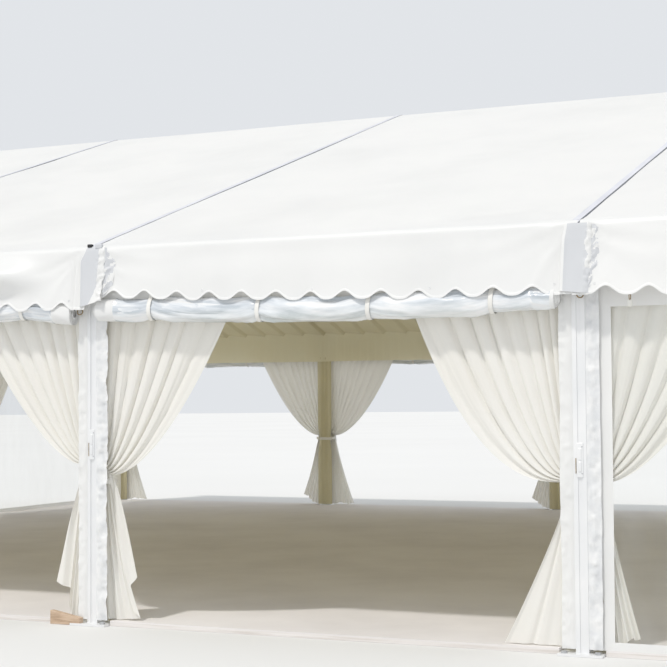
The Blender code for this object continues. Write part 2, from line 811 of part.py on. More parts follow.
def make_gable_drapes():
    drapes = gable_drapes()
    right = finished(drapes, "ivory_drape", "gable_drapes_right", (END_FACE, 0, 0), math.pi / 2)
    repeated(right, "gable_drapes_left", (-END_FACE, 0, 0), -math.pi / 2)


# Inside


def make_lining():
    """A lining under the rafters from eaves to eaves, with a pelmet down inside each row of legs."""
    half = HALF_SPAN - LEG_DEPTH - TOUCH
    inner = half - LINING_THICKNESS

    def upper(y):
        return rafter_bottom(y) - TOUCH

    def lower(y):
        return upper(y) - LINING_THICKNESS

    outline = [
        (-half, PELMET_BOTTOM),
        (-inner, PELMET_BOTTOM),
        (-inner, lower(inner)),
        (0, lower(0)),
        (inner, lower(inner)),
        (inner, PELMET_BOTTOM),
        (half, PELMET_BOTTOM),
        (half, upper(half)),
        (0, upper(0)),
        (-half, upper(half)),
    ]
    length = END_FACE - max(FRAME_WIDTH, GABLE_POST_DEPTH + TIE_THICKNESS) - LINING_END_GAP
    lining = plate("roof_lining", [outline], "YZ", -length, length)
    finished(lining, "ivory_lining")


def make_floor():
    """A boarded and carpeted floor, notched round every base plate."""
    floor = box("floor", (-END_FACE, -HALF_SPAN, 0), (END_FACE, HALF_SPAN, FLOOR_TOP))
    leg_y = HALF_SPAN - LEG_DEPTH / 2
    plates = [(x, side * leg_y, PLATE_SIZE) for x in FRAME_X for side in (-1, 1)]
    post_x = TENT_LENGTH / 2 + FRAME_WIDTH / 2 - GABLE_POST_DEPTH / 2
    plates += [(side * post_x, y, GABLE_PLATE_SIZE) for side in (-1, 1) for y in GABLE_POST_Y]
    notches = []
    for x, y, size in plates:
        reach = size / 2 + FLOOR_NOTCH_GAP
        low = (x - reach, y - reach, -FLOOR_TOP)
        high = (x + reach, y + reach, 2 * FLOOR_TOP)
        notches.append(box("notch", low, high))
    finished(cut(floor, *notches), "floor_carpet", "floor")


clear_scene()
TENT = bpy.data.collections.new("frame_marquee")
bpy.context.scene.collection.children.link(TENT)
MATERIALS = make_materials()
make_legs()
make_rafters()
make_rails()
make_gable_frames()
make_roof()
make_gable_panels()
make_side_walls()
make_gable_walls()
make_drapes()
make_gable_drapes()
make_lining()
make_floor()
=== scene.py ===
"""Looks of the frame marquee: every sheet, drape, roll and lining as cloth, and the finish of the frame."""

import math
from itertools import product

import bpy
import numpy as np
from mathutils import Matrix, Vector


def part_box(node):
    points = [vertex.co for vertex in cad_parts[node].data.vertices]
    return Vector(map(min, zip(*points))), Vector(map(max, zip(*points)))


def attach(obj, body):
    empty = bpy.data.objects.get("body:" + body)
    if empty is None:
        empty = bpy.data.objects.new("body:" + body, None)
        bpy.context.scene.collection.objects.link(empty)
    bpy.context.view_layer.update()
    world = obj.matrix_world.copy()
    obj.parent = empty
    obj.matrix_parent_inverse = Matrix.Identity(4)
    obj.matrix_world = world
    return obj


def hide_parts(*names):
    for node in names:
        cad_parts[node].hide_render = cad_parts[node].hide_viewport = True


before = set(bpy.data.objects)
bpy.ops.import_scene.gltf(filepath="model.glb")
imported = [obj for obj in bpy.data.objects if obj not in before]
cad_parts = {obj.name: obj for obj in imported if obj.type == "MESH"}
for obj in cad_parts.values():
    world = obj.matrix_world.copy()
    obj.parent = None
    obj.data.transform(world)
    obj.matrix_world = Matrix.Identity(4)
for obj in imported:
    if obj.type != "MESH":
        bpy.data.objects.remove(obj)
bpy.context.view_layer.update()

# Sizes, nearly all read from the frame
EAVES_LOW, EAVES_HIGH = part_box("eaves_rail_front")
RIDGE_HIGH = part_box("ridge_rail")[1]
LINING_LOW, LINING_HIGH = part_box("roof_lining")
DRAPE_LOW, DRAPE_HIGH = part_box("drape_front_3")
WALL_LOW, WALL_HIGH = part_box("window_wall_front")
FILM_LOW, FILM_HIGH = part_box("window_film_front")
GABLE_WALL_LOW, GABLE_WALL_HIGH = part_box("gable_wall_right")
GABLE_FILM_LOW, GABLE_FILM_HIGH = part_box("gable_film_right")
ROLL_LOW, ROLL_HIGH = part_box("rolled_wall_front_1")
PANEL_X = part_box("gable_panel_right")[1].x
WALL_PLANE = (WALL_LOW.y + WALL_HIGH.y) / 2
BAYS = 4
FRAME_X = [sum(corner.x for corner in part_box(f"leg_front_{i + 1}")) / 2 for i in range(BAYS + 1)]
LEG_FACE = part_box("rafters_3")[1].y  # outer faces of the legs
LEG_BACK = LINING_HIGH.y  # inner faces of the legs
LEG_HALF_WIDTH = 0.035
EAVES_FACE = -EAVES_LOW.y
RISE = (RIDGE_HIGH.z - EAVES_HIGH.z) / (EAVES_FACE - RIDGE_HIGH.y)
PITCH = math.atan(RISE)
FLOOR_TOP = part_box("floor")[1].z
POST_Y = LEG_FACE / 3  # gable posts stand at the thirds

SIDES = ("front", "back")
SIGN = {"front": -1, "back": 1, "left": -1, "right": 1}  # of Y for a long side, of X for the others

# Shape of the roof sheets in metres, and what differs in the bays that the photo shows
SHEET_LIFT = 0.003  # middle of the sheet above the frame it lies on
BEND = 0.024  # half the length over which a sheet turns down at the eaves
HANG = math.radians(82)  # a valance's slope
VALANCE = 0.345
SHOULDER = 0.0235  # a sheet's right edge beside the bare strip, from the frame's centre
OPEN_SHOULDER = 0.033  # its left edge, which leaves the groove open
SHOULDER_BAND = 0.12  # width of cloth that is drawn in there
MEETING = 0.0015  # a valance's end, from the frame's centre
OVERLAP = 0.020  # of one valance over the next, under the cover
HEM, HEM_STEP = 0.012, 0.0009
ARCHES, ARCH_PITCH, ARCH_RISE, ARCH_SHARPNESS = 13, 0.2145, 0.047, 1.5
USUAL_START = 0.2134  # of the first arch, from a bay's left frame
ARCH_STARTS = {("front", 3): 0.179}
# Numbers and middles of arches that are drawn together at a leg
ARCH_MARKS = {("front", 1): ((0, 10, 11, 12), (0.160, 2.466, 2.671, 2.852))}
USUAL_DROP = ((0, 1.5, 3), (0.350, 0.345, 0.350))
VALANCE_DROPS = {
    ("front", 1): ((0, 0.75, 1.5, 2.25, 3), (0.350, 0.360, 0.366, 0.371, 0.372)),
    ("front", 2): ((0, 0.33, 0.75, 1.5, 2.25, 3), (0.300, 0.314, 0.337, 0.360, 0.378, 0.380)),
    ("front", 3): ((0, 0.75, 1.5, 2.25, 3), (0.385, 0.406, 0.412, 0.403, 0.378)),
}
TUCKED = ("front", 1)  # the valance that swells out over its roll and tucks in below
EAVES_S = (EAVES_FACE + 0.006) / math.cos(PITCH)  # along the sheet, from the ridge to the eaves
RIDGE_Z = EAVES_HIGH.z + EAVES_FACE * RISE + SHEET_LIFT

# Random seeds by kind of piece: the first, the step to the next along, and the shift of the back or left
SEEDS = {
    "sheet": (40, 20, 7),
    "panel": (300, 0, 30),
    "cover": (500, 10, 5),
    "roll": (700, 30, 15),
    "window": (900, 0, 40),
    "gable_wall": (1000, 0, 50),
    "drape": (1200, 40, 20),
    "gable_drape": (1600, 10, 60),
    "pelmet": (31, 0, 6),
    "lining": (1800, 10, 5),
    "strip": (2000, 10, 5),
}
CEILING_SEED = 21


def seed_of(kind, side, number=0):
    first, step, other_side = SEEDS[kind]
    return first + step * number + (other_side if side in ("back", "left") else 0)


def beyond_end(number, towards):
    """Whether that side of a frame faces out of the tent's end."""
    return number == (0 if towards < 0 else BAYS)


# Smooth shapes and noise


def smoothstep(x, low=0.0, high=1.0):
    t = np.clip((x - low) / (high - low), 0, 1)
    return t * t * (3 - 2 * t)


def hump(x, middle, width):
    """A bell of height 1."""
    return np.exp(-(((x - middle) / width) ** 2))


CELLS = 32


def noise(x, y, seed):
    """Smooth noise from -1 to 1 over a lattice of unit cells, from one layer of a cube of random values."""
    table = np.random.default_rng(seed).uniform(-1, 1, (CELLS, CELLS, CELLS))[:, :, 0]
    x, y = np.broadcast_arrays(np.asarray(x, float), np.asarray(y, float))
    i, j = np.floor(x).astype(int), np.floor(y).astype(int)
    across, up = smoothstep(x - i), smoothstep(y - j)
    total = 0.0
    for k, m in product((0, 1), repeat=2):
        weight = (across if k else 1 - across) * (up if m else 1 - up)
        total = total + weight * table[(i + k) % CELLS, (j + m) % CELLS]
    return total


def rough(x, y, seed):
    """Noise with finer noise on it."""
    return sum(noise(x * 2**i, y * 2**i, seed + i) / 2**i for i in range(3))


def creases(x, y, seed):
    """Folded noise: sharp ridges, up to about 1.5, between rounded fields near 0."""
    return sum((1 - np.abs(noise(x * 1.9**i, y * 1.9**i, seed + i))) ** 3 / 1.9**i for i in range(2))


# Meshes from grids of points


def xyz(x, y, z):
    """A grid of points from coordinates that may be shared along its rows or columns."""
    return np.stack(np.broadcast_arrays(x, y, z), axis=-1)


def grid_faces(rows, columns, start, shown):
    index = start + np.arange(rows * columns).reshape(rows, columns)
    quads = np.stack([index[:-1, :-1], index[:-1, 1:], index[1:, 1:], index[1:, :-1]], axis=-1)
    return quads.reshape(-1, 4) if shown is None else quads[shown]


def cloth_places(points):
    """Distances in metres across and along a grid, for the weave."""
    across = np.linalg.norm(np.diff(points, axis=1), axis=2)
    along = np.linalg.norm(np.diff(points, axis=0), axis=2)
    rows, columns = points.shape[:2]
    u = np.hstack([[0], np.cumsum(across[rows // 2])])
    v = np.hstack([[0], np.cumsum(along[:, columns // 2])])
    return np.stack(np.meshgrid(u, v), axis=-1)


def linked(name, mesh):
    piece = bpy.data.objects.new(name, mesh)
    bpy.context.scene.collection.objects.link(piece)
    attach(piece, "root")
    return piece


def surface(name, grids, finishes, stands_for=()):
    """One piece from grids, each (points, number of its finish, faces shown, cloth places).

    A grid can leave out its last items: the first finish, all faces and places by distance are usual.
    """
    places, cloth, quads, numbers = [], [], [], []
    start = 0
    for grid in grids:
        points, number, shown, own = (*grid, *(0, None, None)[len(grid) - 1 :])
        rows, columns = points.shape[:2]
        faces = grid_faces(rows, columns, start, shown)
        places.append(points.reshape(-1, 3))
        cloth.append((cloth_places(points) if own is None else own).reshape(-1, 2))
        quads.append(faces)
        numbers.append(np.full(len(faces), number))
        start += rows * columns
    quads = np.concatenate(quads)
    mesh = bpy.data.meshes.new(name)
    mesh.from_pydata(np.concatenate(places).tolist(), [], quads.tolist())
    for finish in finishes:
        mesh.materials.append(finish)
    mesh.polygons.foreach_set("material_index", np.concatenate(numbers).astype(np.int32))
    layer = mesh.uv_layers.new(name="cloth")
    layer.data.foreach_set("uv", np.concatenate(cloth)[quads.ravel()].ravel())
    mesh.shade_smooth()
    mesh.validate()
    piece = linked(name, mesh)
    if stands_for:
        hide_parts(*stands_for)
    return piece


def on_side(points, side):
    """Points of the front, or the same by a half turn about Z for the back."""
    return points if side == "front" else points * np.array([-1.0, -1.0, 1.0])


def facing(points, kept):
    """A grid as it is, or with its faces turned over."""
    return points if kept else points[:, ::-1]


# Materials


class Finish:
    """A material in the making."""

    def __init__(self, name):
        self.material = bpy.data.materials.new(name)
        self.material.use_nodes = True
        self.tree = self.material.node_tree
        self.shader = self.tree.nodes["Principled BSDF"]

    def feed(self, node, values):
        for key, value in values.items():
            if isinstance(value, bpy.types.NodeSocket):
                self.tree.links.new(value, node.inputs[key])
            else:
                node.inputs[key].default_value = value

    def add(self, kind, values, **settings):
        made = self.tree.nodes.new(kind)
        for key, value in settings.items():
            setattr(made, key, value)
        self.feed(made, values)
        return made

    def place(self, scale=(1, 1, 1), source="Object"):
        vector = self.add("ShaderNodeTexCoord", {}).outputs[source]
        return self.add("ShaderNodeMapping", {"Vector": vector, "Scale": scale}).outputs["Vector"]

    def height(self):
        return self.add("ShaderNodeSeparateXYZ", {"Vector": self.place()}).outputs["Z"]

    def speckle(self, scale, detail, roughness=0.55, stretch=(1, 1, 1), source="Object"):
        vector = self.place(stretch, source)
        values = {"Vector": vector, "Scale": scale, "Detail": detail, "Roughness": roughness}
        return self.add("ShaderNodeTexNoise", values).outputs["Fac"]

    def ramp(self, value, stops):
        made = self.add("ShaderNodeValToRGB", {"Fac": value})
        elements = made.color_ramp.elements
        while len(elements) < len(stops):
            elements.new(0.5)
        for element, (position, colour) in zip(elements, stops):
            element.position = position
            element.color = (*colour, 1)
        return made.outputs["Color"]

    def mixed(self, share, first, second):
        return self.add("ShaderNodeMix", {0: share, 6: first, 7: second}, data_type="RGBA").outputs[2]

    def between(self, value, low, high, start=0.3, end=0.7):
        values = {"Value": value, "From Min": start, "From Max": end, "To Min": low, "To Max": high}
        return self.add("ShaderNodeMapRange", values).outputs["Result"]

    def ribs(self, scale, distortion, direction):
        values = {"Vector": self.place(source="UV"), "Scale": scale, "Distortion": distortion}
        return self.add("ShaderNodeTexWave", values, bands_direction=direction).outputs["Fac"]

    def weave(self, threads):
        """Height of a plain weave, with the given number of threads to the metre."""
        heights = {i: self.ribs(threads / 20, 0.4, "XY"[i]) for i in range(2)}
        return self.add("ShaderNodeMath", heights, operation="MAXIMUM").outputs["Value"]

    def bumped(self, layers):
        """Normal from heights, each a (height socket, depth in metres, strength)."""
        values = {}
        for height, distance, strength in layers:
            values.update({"Height": height, "Distance": distance, "Strength": strength})
            values["Normal"] = self.add("ShaderNodeBump", values).outputs["Normal"]
        return values["Normal"]

    def show_mix(self, share, first, second):
        values = {"Fac": share, 1: first.outputs["BSDF"], 2: second.outputs["BSDF"]}
        mix = self.add("ShaderNodeMixShader", values)
        self.feed(self.tree.nodes["Material Output"], {"Surface": mix.outputs["Shader"]})

    def close(self, values, layers, share=None, colour=None):
        """The material, with its values and bumps, and a share of light that comes from its other side."""
        normal = self.bumped(layers)
        self.feed(self.shader, {**values, "Normal": normal})
        if share:
            through = self.add("ShaderNodeBsdfTranslucent", {"Color": (*colour, 1), "Normal": normal})
            self.show_mix(share, self.shader, through)
        return self.material


def coated_fabric(name, tones, through, scale=0.9):
    """White coated polyester: slight gloss, faint scrim, soft handling creases and a little grime."""
    make = Finish(name)
    values = {
        "Base Color": make.ramp(make.speckle(scale, 4), tones),
        "Roughness": make.between(make.speckle(5, 3), 0.38, 0.56),
        "Specular IOR Level": 0.4,
        "Coat Weight": 0.06,
        "Coat Roughness": 0.35,
    }
    layers = [
        (make.speckle(2.6, 4, 0.5), 0.012, 0.35),
        (make.speckle(14, 3, 0.6), 0.002, 0.30),
        (make.weave(900), 0.0003, 0.25),
    ]
    return make.close(values, layers, through, (0.95, 0.93, 0.88))


def soft_cloth(name, dark, light, through, share):
    """Thin woven cloth that light comes through."""
    make = Finish(name)
    fine = make.speckle(24, 3, 0.6, (1, 1, 0.25))
    values = {
        "Base Color": make.ramp(make.speckle(1.6, 3), [(0.3, dark), (0.7, light)]),
        "Roughness": make.between(fine, 0.72, 0.88),
        "Specular IOR Level": 0.22,
        "Sheen Weight": 0.25,
        "Sheen Roughness": 0.5,
    }
    layers = [
        (make.speckle(7, 3, 0.5, (1, 1, 0.22)), 0.006, 0.35),
        (fine, 0.0015, 0.25),
        (make.weave(1400), 0.0003, 0.35),
    ]
    return make.close(values, layers, share, through)


def clear_film(name, haze):
    """Clear vinyl: mostly see-through, with a film of haze and rubbed marks on a glossy, rippled skin."""
    make = Finish(name)
    marks = make.speckle(6, 5, 0.65, (1, 1, 0.3))
    layers = [(make.speckle(5, 3, 0.5, (1, 1, 0.35)), 0.006, 0.6), (make.speckle(40, 2), 0.0006, 0.3)]
    values = {
        "Base Color": (0.80, 0.83, 0.84, 1),
        "Roughness": make.between(marks, 0.08, 0.22),
        "Specular IOR Level": 0.6,
    }
    film = make.close(values, layers)
    normal = make.shader.inputs["Normal"].links[0].from_socket
    clear = make.add("ShaderNodeBsdfTransparent", {"Color": (0.98, 0.985, 0.98, 1)})
    facing_away = make.add("ShaderNodeLayerWeight", {"Blend": 0.5, "Normal": normal}).outputs["Facing"]
    sheen = make.add("ShaderNodeMath", {0: facing_away, 1: 4.0}, operation="POWER").outputs["Value"]
    hazy = make.between(marks, haze * 0.5, haze * 1.6)
    share = make.add("ShaderNodeMath", {0: sheen, 1: hazy}, operation="ADD", use_clamp=True)
    make.show_mix(share.outputs["Value"], clear, make.shader)
    return film


def rolled_vinyl():
    """Many layers of clear vinyl seen at once: painted white glints, over a painted reflection that is
    blue-grey above and greener underneath.
    """
    make = Finish("rolled_film")
    # Long streaks along the roll; their lightest tones are painted glints
    glint_streaks = make.speckle(1.0, 4, 0.55, (2.6, 17, 1), "UV")
    upper = [
        (0.36, (0.50, 0.56, 0.62)),
        (0.47, (0.70, 0.75, 0.81)),
        (0.55, (0.84, 0.875, 0.915)),
        (0.61, (0.98, 0.985, 0.99)),
    ]
    lower = [
        (0.36, (0.60, 0.645, 0.63)),
        (0.46, (0.83, 0.86, 0.85)),
        (0.55, (0.93, 0.945, 0.94)),
        (0.62, (0.99, 0.99, 0.99)),
    ]
    # Painted reflection by height: the upper tones, bluer like the sky, on the roll's top, the greener lower
    # tones below
    painted_sky_share = make.between(make.height(), 0, 1, 1.78, 1.87)
    values = {
        "Base Color": make.mixed(painted_sky_share, make.ramp(glint_streaks, lower), make.ramp(glint_streaks, upper)),
        "Roughness": make.between(glint_streaks, 0.30, 0.14),
        "Specular IOR Level": 0.7,
        "Coat Weight": 0.6,
        "Coat Roughness": 0.08,
    }
    layers = [
        (make.speckle(1.0, 4, 0.6, (3.4, 24, 1), "UV"), 0.012, 0.6),
        (make.speckle(1.0, 3, 0.5, (9, 70, 1), "UV"), 0.002, 0.35),
    ]
    return make.close(values, layers, 0.14, (0.84, 0.89, 0.89))


def brushed_aluminium(name, dark, light, metallic):
    """Extruded aluminium with drawing lines along each section and a dull bloom."""
    make = Finish(name)
    bloom = make.speckle(3.5, 5, 0.6)
    values = {
        "Base Color": make.ramp(bloom, [(0.3, dark), (0.7, light)]),
        "Metallic": metallic,
        "Roughness": make.between(bloom, 0.36, 0.52),
    }
    lines = make.speckle(160, 2, 0.5, (1, 1, 0.02))
    return make.close(values, [(lines, 0.0004, 0.25), (make.speckle(60, 3), 0.0005, 0.12)])


def plain_metal(name, dark, light, metallic, low, high):
    make = Finish(name)
    spots = make.speckle(45, 4, 0.6)
    values = {
        "Base Color": make.ramp(spots, [(0.35, dark), (0.65, light)]),
        "Metallic": metallic,
        "Roughness": make.between(spots, low, high),
    }
    return make.close(values, [(spots, 0.0006, 0.3)])


def webbing():
    """White polyester strap with a ribbed weave."""
    make = Finish("webbing")
    stain = make.speckle(9, 3)
    values = {
        "Base Color": make.ramp(stain, [(0.3, (0.80, 0.78, 0.72)), (0.7, (0.90, 0.89, 0.86))]),
        "Roughness": make.between(stain, 0.6, 0.75),
        "Sheen Weight": 0.2,
    }
    return make.close(values, [(make.ribs(160, 0.2, "Y"), 0.0006, 0.5)])


def carpeted_boards():
    """Pale ribbed carpet on plywood: the height on the board chooses carpet or the edge's veneers."""
    make = Finish("floor_carpet")
    fibres = make.speckle(260, 3, 0.7)
    wear = make.speckle(0.8, 5, 0.6)
    worn = [(0.3, (0.70, 0.665, 0.65)), (0.55, (0.79, 0.755, 0.74)), (0.8, (0.84, 0.81, 0.795))]
    grain = make.speckle(9, 4, 0.6, (0.25, 0.25, 9))
    veneer = [(0.35, (0.64, 0.59, 0.55)), (0.5, (0.74, 0.70, 0.67)), (0.7, (0.82, 0.785, 0.76))]
    is_carpet = make.between(make.height(), 0, 1, 0.0225, 0.0232)
    values = {
        "Base Color": make.mixed(is_carpet, make.ramp(grain, veneer), make.ramp(wear, worn)),
        "Roughness": make.between(fibres, 0.86, 0.97),
        "Specular IOR Level": 0.2,
    }
    return make.close(values, [(fibres, 0.002, 0.5), (wear, 0.01, 0.15)])


def timber():
    make = Finish("timber")
    grain = make.speckle(14, 5, 0.65, (0.6, 6, 6))
    browns = [(0.3, (0.30, 0.19, 0.11)), (0.5, (0.52, 0.36, 0.24)), (0.7, (0.66, 0.50, 0.36))]
    values = {"Base Color": make.ramp(grain, browns), "Roughness": make.between(grain, 0.65, 0.85)}
    return make.close(values, [(grain, 0.002, 0.5)])


WHITE = [(0.30, (0.80, 0.805, 0.80)), (0.52, (0.86, 0.862, 0.855)), (0.75, (0.885, 0.885, 0.875))]
GREYER = [(0.30, (0.55, 0.565, 0.595)), (0.52, (0.60, 0.615, 0.645)), (0.75, (0.64, 0.655, 0.68))]
# Greyer mottled white: painted shade on strips that the leg's ridge and their own puckers shade
SHADE_MOTTLE = [(0.34, (0.70, 0.715, 0.735)), (0.50, (0.79, 0.80, 0.81)), (0.66, (0.88, 0.88, 0.88))]
PVC = coated_fabric("white_pvc", WHITE, 0.14)
COVER = coated_fabric("cover_pvc", GREYER, 0.06)
PAINTED_SHADE_PVC = coated_fabric("pvc_painted_shade", SHADE_MOTTLE, 0.08, 15)
DRAPE = soft_cloth("ivory_drape", (0.92, 0.90, 0.845), (0.98, 0.972, 0.94), (1.0, 0.97, 0.885), 0.27)
# The lining is the pelmet's cloth painted darker and yellower, as shade inside the tent
LINING = soft_cloth("ivory_lining", (0.70, 0.63, 0.385), (0.775, 0.71, 0.465), (0.95, 0.87, 0.60), 0.30)
PELMET = soft_cloth("pelmet", (0.97, 0.90, 0.63), (1.0, 0.955, 0.72), (1.0, 0.94, 0.72), 0.28)
FILM = clear_film("clear_film", 0.07)
ROLLED = rolled_vinyl()
ALUMINIUM = brushed_aluminium("aluminium", (0.80, 0.81, 0.82), (0.89, 0.89, 0.89), 0.35)
STRIP_METAL = brushed_aluminium("rafter_aluminium", (0.70, 0.71, 0.77), (0.82, 0.83, 0.88), 0.45)
WEBBING = webbing()
CARPET = carpeted_boards()
TIMBER = timber()
STEEL = plain_metal("galvanised_steel", (0.42, 0.43, 0.44), (0.60, 0.61, 0.62), 0.9, 0.38, 0.6)
BRASS = plain_metal("tarnished_brass", (0.20, 0.13, 0.06), (0.42, 0.30, 0.15), 0.8, 0.4, 0.6)
# Dark strips painted as the shadow in the rafters' open grooves
GROOVE_SHADOW = plain_metal("painted_groove_shadow", (0.045, 0.048, 0.06), (0.10, 0.105, 0.125), 0.0, 0.6, 0.8)
CHANNEL_SHADE = plain_metal("painted_channel_shade", (0.008, 0.008, 0.009), (0.018, 0.018, 0.02), 0.0, 0.8, 0.95)


# Roof sheets


def sheet_profile():
    """Outward distance, height and slope of a sheet, tabled by distance from the ridge."""
    s = np.linspace(0, EAVES_S + VALANCE + 0.15, 6000)
    slope = PITCH * smoothstep(s, 0, 0.05) + (HANG - PITCH) * smoothstep(s, EAVES_S - BEND, EAVES_S + BEND)
    out, down = (np.cumsum(part) * (s[1] - s[0]) for part in (np.cos(slope), np.sin(slope)))
    clear = 0.008 * hump(s, EAVES_S, 0.06)
    height = RIDGE_Z - 0.004 - down + clear * np.cos(slope)
    return s, out - out[0] + clear * np.sin(slope), height, slope


PROFILE = sheet_profile()


def on_sheet(s, lift):
    """Outward distance and height of a point on the sheet, lifted off it."""
    out, height, angle = (np.interp(s, PROFILE[0], column) for column in PROFILE[1:])
    return out + lift * np.sin(angle), height + lift * np.cos(angle)


def arch_places(bay, side, length):
    """Numbers of a valance's arches and their middles from the bay's left frame, and half a pitch beyond."""
    if (side, bay) in ARCH_MARKS:
        middles = np.interp(np.arange(ARCHES), *ARCH_MARKS[side, bay])
    else:
        first = ARCH_STARTS.get((side, bay), USUAL_START)
        middles = np.linspace(first, length - first, ARCHES)
    before = middles[0] - (middles[1] - middles[0]) / 2
    after = middles[-1] + (middles[-1] - middles[-2]) / 2
    return np.array([-0.5, *range(ARCHES), ARCHES - 0.5]), np.array([before, *middles, after])


def arch(x, numbers, places):
    """Rise of a scalloped hem, x from the bay's left frame."""
    share = np.interp(x, places, numbers)
    return ARCH_RISE * (0.5 + 0.5 * np.cos(2 * math.pi * share)) ** ARCH_SHARPNESS


def bay_columns(low, high, numbers, places):
    """Places across a bay, crowded where the hem arches."""
    t = np.linspace(-0.5, 0.5, 15)[:-1]
    crowded = 0.5 * np.sign(t) * np.abs(2 * t) ** 1.25
    inner = [np.interp(k + crowded, numbers, places) for k in range(ARCHES)]
    start = np.linspace(low, places[0], 7)[:-1]
    end = np.linspace(places[-1], high, 7)
    return np.concatenate([start, *inner, end])


def valance_drop(bay, side, own):
    """Depth of a valance before its arches are cut, as it hangs."""
    return np.interp(own, *VALANCE_DROPS.get((side, bay), USUAL_DROP))


FAN_CREASES = 9


def fan(x, s, seed):
    """Creases that run out from a leg's top, at x 0 and the eaves, into a sheet at x > 0."""
    rng = np.random.default_rng(seed)
    reach = np.hypot(x, s) + 1e-6
    angle = np.arctan2(s, x)
    lift = 0.0
    for i in range(FAN_CREASES):
        aim = math.radians(-38 + 118 * (i + rng.uniform(0.2, 0.8)) / FAN_CREASES)
        width = math.radians(rng.uniform(3.0, 7.0))
        length = rng.uniform(0.25, 0.65)
        depth = rng.uniform(0.004, 0.009) * (1 if i % 2 else -1)
        bent = angle - aim + 0.12 * np.sin(reach * 5 + i)
        near = smoothstep(reach, 0.0, 0.10)
        lift = lift + depth * near * hump(bent, 0, width) * np.exp(-((reach / length) ** 1.5))
    return lift


def sheet_lift(x, s, side, bay):
    """How far the cloth of one bay stands off its plane. X runs from the bay's left frame."""
    length = FRAME_X[bay + 1] - FRAME_X[bay]
    seed = seed_of("sheet", side, bay)
    q = np.clip(x / length, 0, 1)
    middle = 4 * q * (1 - q)
    rise = np.sin(math.pi * np.clip(s / EAVES_S, 0, 1))
    fall = np.clip((s - EAVES_S) / VALANCE, 0, 1)
    edge = np.minimum(np.abs(x), np.abs(length - x))
    sag = -0.022 * rise**0.7 * middle**0.8
    slack = 0.011 * rough(x * 0.9, s * 0.7, seed) * middle**0.35 * rise**0.5
    pucker = 0.0035 * np.exp(-edge / 0.07) * noise(s * 7, q * 2, seed + 5) * rise**0.3
    sweep_line = EAVES_S - 0.02 - 0.42 * smoothstep(q, 0.35, 0.95) + 0.34 * smoothstep(q, 0.9, 1.0)
    sweep = -0.007 * hump(s, sweep_line, 0.06) * smoothstep(q, 0.25, 0.7)
    on_slope = 1 - smoothstep(s, EAVES_S - 0.03, EAVES_S + 0.03)
    corners = fan(x, s - EAVES_S, seed + 7) + fan(length - x, s - EAVES_S, seed + 8)
    waves = (
        0.009 * np.sin(2 * math.pi * (x / 0.74 + 0.3 * noise(x * 0.8, 0.5, seed + 9)) + seed)
        + 0.009 * noise(x * 3.6, s * 1.5, seed + 10)
        + 0.003 * noise(x * 11, s * 3, seed + 11)
    )
    hanging = waves * fall**1.1 * smoothstep(edge, 0.0, 0.12)
    gathers = 0.006 * hump(edge, 0, 0.085) + 0.012 * hump(x, 0, 0.19)
    gathers = gathers * smoothstep(fall, 0.02, 0.2) * (creases(s * 14 - x * 8, x * 7, seed + 12) - 0.5)
    gathers = gathers * (1 - 0.8 * smoothstep(x, length - 0.1, length - 0.02))
    bulge = 0.008 * np.sin(math.pi * fall) ** 2 * smoothstep(edge, 0.12, 0.45)
    if (side, bay) == TUCKED:
        swell = 0.115 * (smoothstep(fall, 0.0, 0.50) - smoothstep(fall, 0.47, 0.88))
        swell = swell + 0.018 * smoothstep(fall, 0.70, 1.0)
        bulge = swell * (1 - smoothstep(x, length - 0.62, length - 0.22)) * smoothstep(x, 0.12, 0.5)
    upright = 0.016 * hump(x, length - 0.050, 0.014) - 0.010 * hump(x, length - 0.075, 0.009)
    upright = upright * smoothstep(fall, 0.12, 0.4)
    return (sag + slack + pucker + sweep) * on_slope + corners + hanging + gathers + bulge + upright


def roof_sheet(bay):
    length = FRAME_X[bay + 1] - FRAME_X[bay]
    first, last = bay == 0, bay == BAYS - 1
    reach = PANEL_X - FRAME_X[-1] - SHEET_LIFT
    low = -reach if first else MEETING
    high = length + reach if last else length + OVERLAP
    stops = (0, 0.12, EAVES_S - 0.7, EAVES_S - 0.08, EAVES_S + BEND)
    counts = (4, 14, 12, 12)
    slope_rows = np.concatenate([np.linspace(*ends)[:-1] for ends in zip(stops, stops[1:], counts)])
    hem_rows = [VALANCE - HEM - 0.001, VALANCE - HEM, VALANCE - HEM / 2, VALANCE]
    hang_rows = np.concatenate([np.linspace(BEND, VALANCE - HEM - 0.005, 14), hem_rows])
    arches = {side: arch_places(bay, side, length) for side in SIDES}
    front_columns = bay_columns(low, high, *arches["front"])
    back_columns = length - bay_columns(length - high, length - low, *arches["back"])[::-1]
    ridge_columns = (front_columns + back_columns) / 2
    halves = []
    for side, columns in (("front", front_columns), ("back", back_columns)):
        own = columns if side == "front" else length - columns
        hang = valance_drop(bay, side, own) - arch(own, *arches[side])
        fallen = (hang_rows[:, None] - BEND) * (hang - BEND) / (VALANCE - BEND)
        s = np.vstack([slope_rows[:, None] + 0 * columns, EAVES_S + BEND + fallen])
        x = ridge_columns + (columns - ridge_columns) * np.clip(s / EAVES_S, 0, 1)
        open_part = 1 - smoothstep(s, EAVES_S + 0.015, EAVES_S + 0.055)
        closing = 1 - smoothstep(s, EAVES_S - 0.045, EAVES_S - 0.010)
        near_left, near_right = (np.clip(1 - away / SHOULDER_BAND, 0, 1) for away in (x - low, high - x))
        left = 0 if first else (OPEN_SHOULDER - low) * open_part * near_left
        right = 0 if last else (SHOULDER + high - length) * closing * near_right
        x = x + left - right
        lift = sheet_lift(x if side == "front" else length - x, s, side, bay)
        if not last:
            lift = lift + 0.004 * smoothstep(x, length - 0.04, length) * (1 - open_part)
        lift[-3:] += HEM_STEP
        out, z = on_sheet(s, lift)
        halves.append(xyz(FRAME_X[bay] + x, SIGN[side] * out, z))
    points = np.concatenate([halves[0][::-1], halves[1][1:]])
    name = f"roof_sheet_{bay + 1}"
    piece = surface(f"{name}_cloth", [(points,)], [PVC], [name])


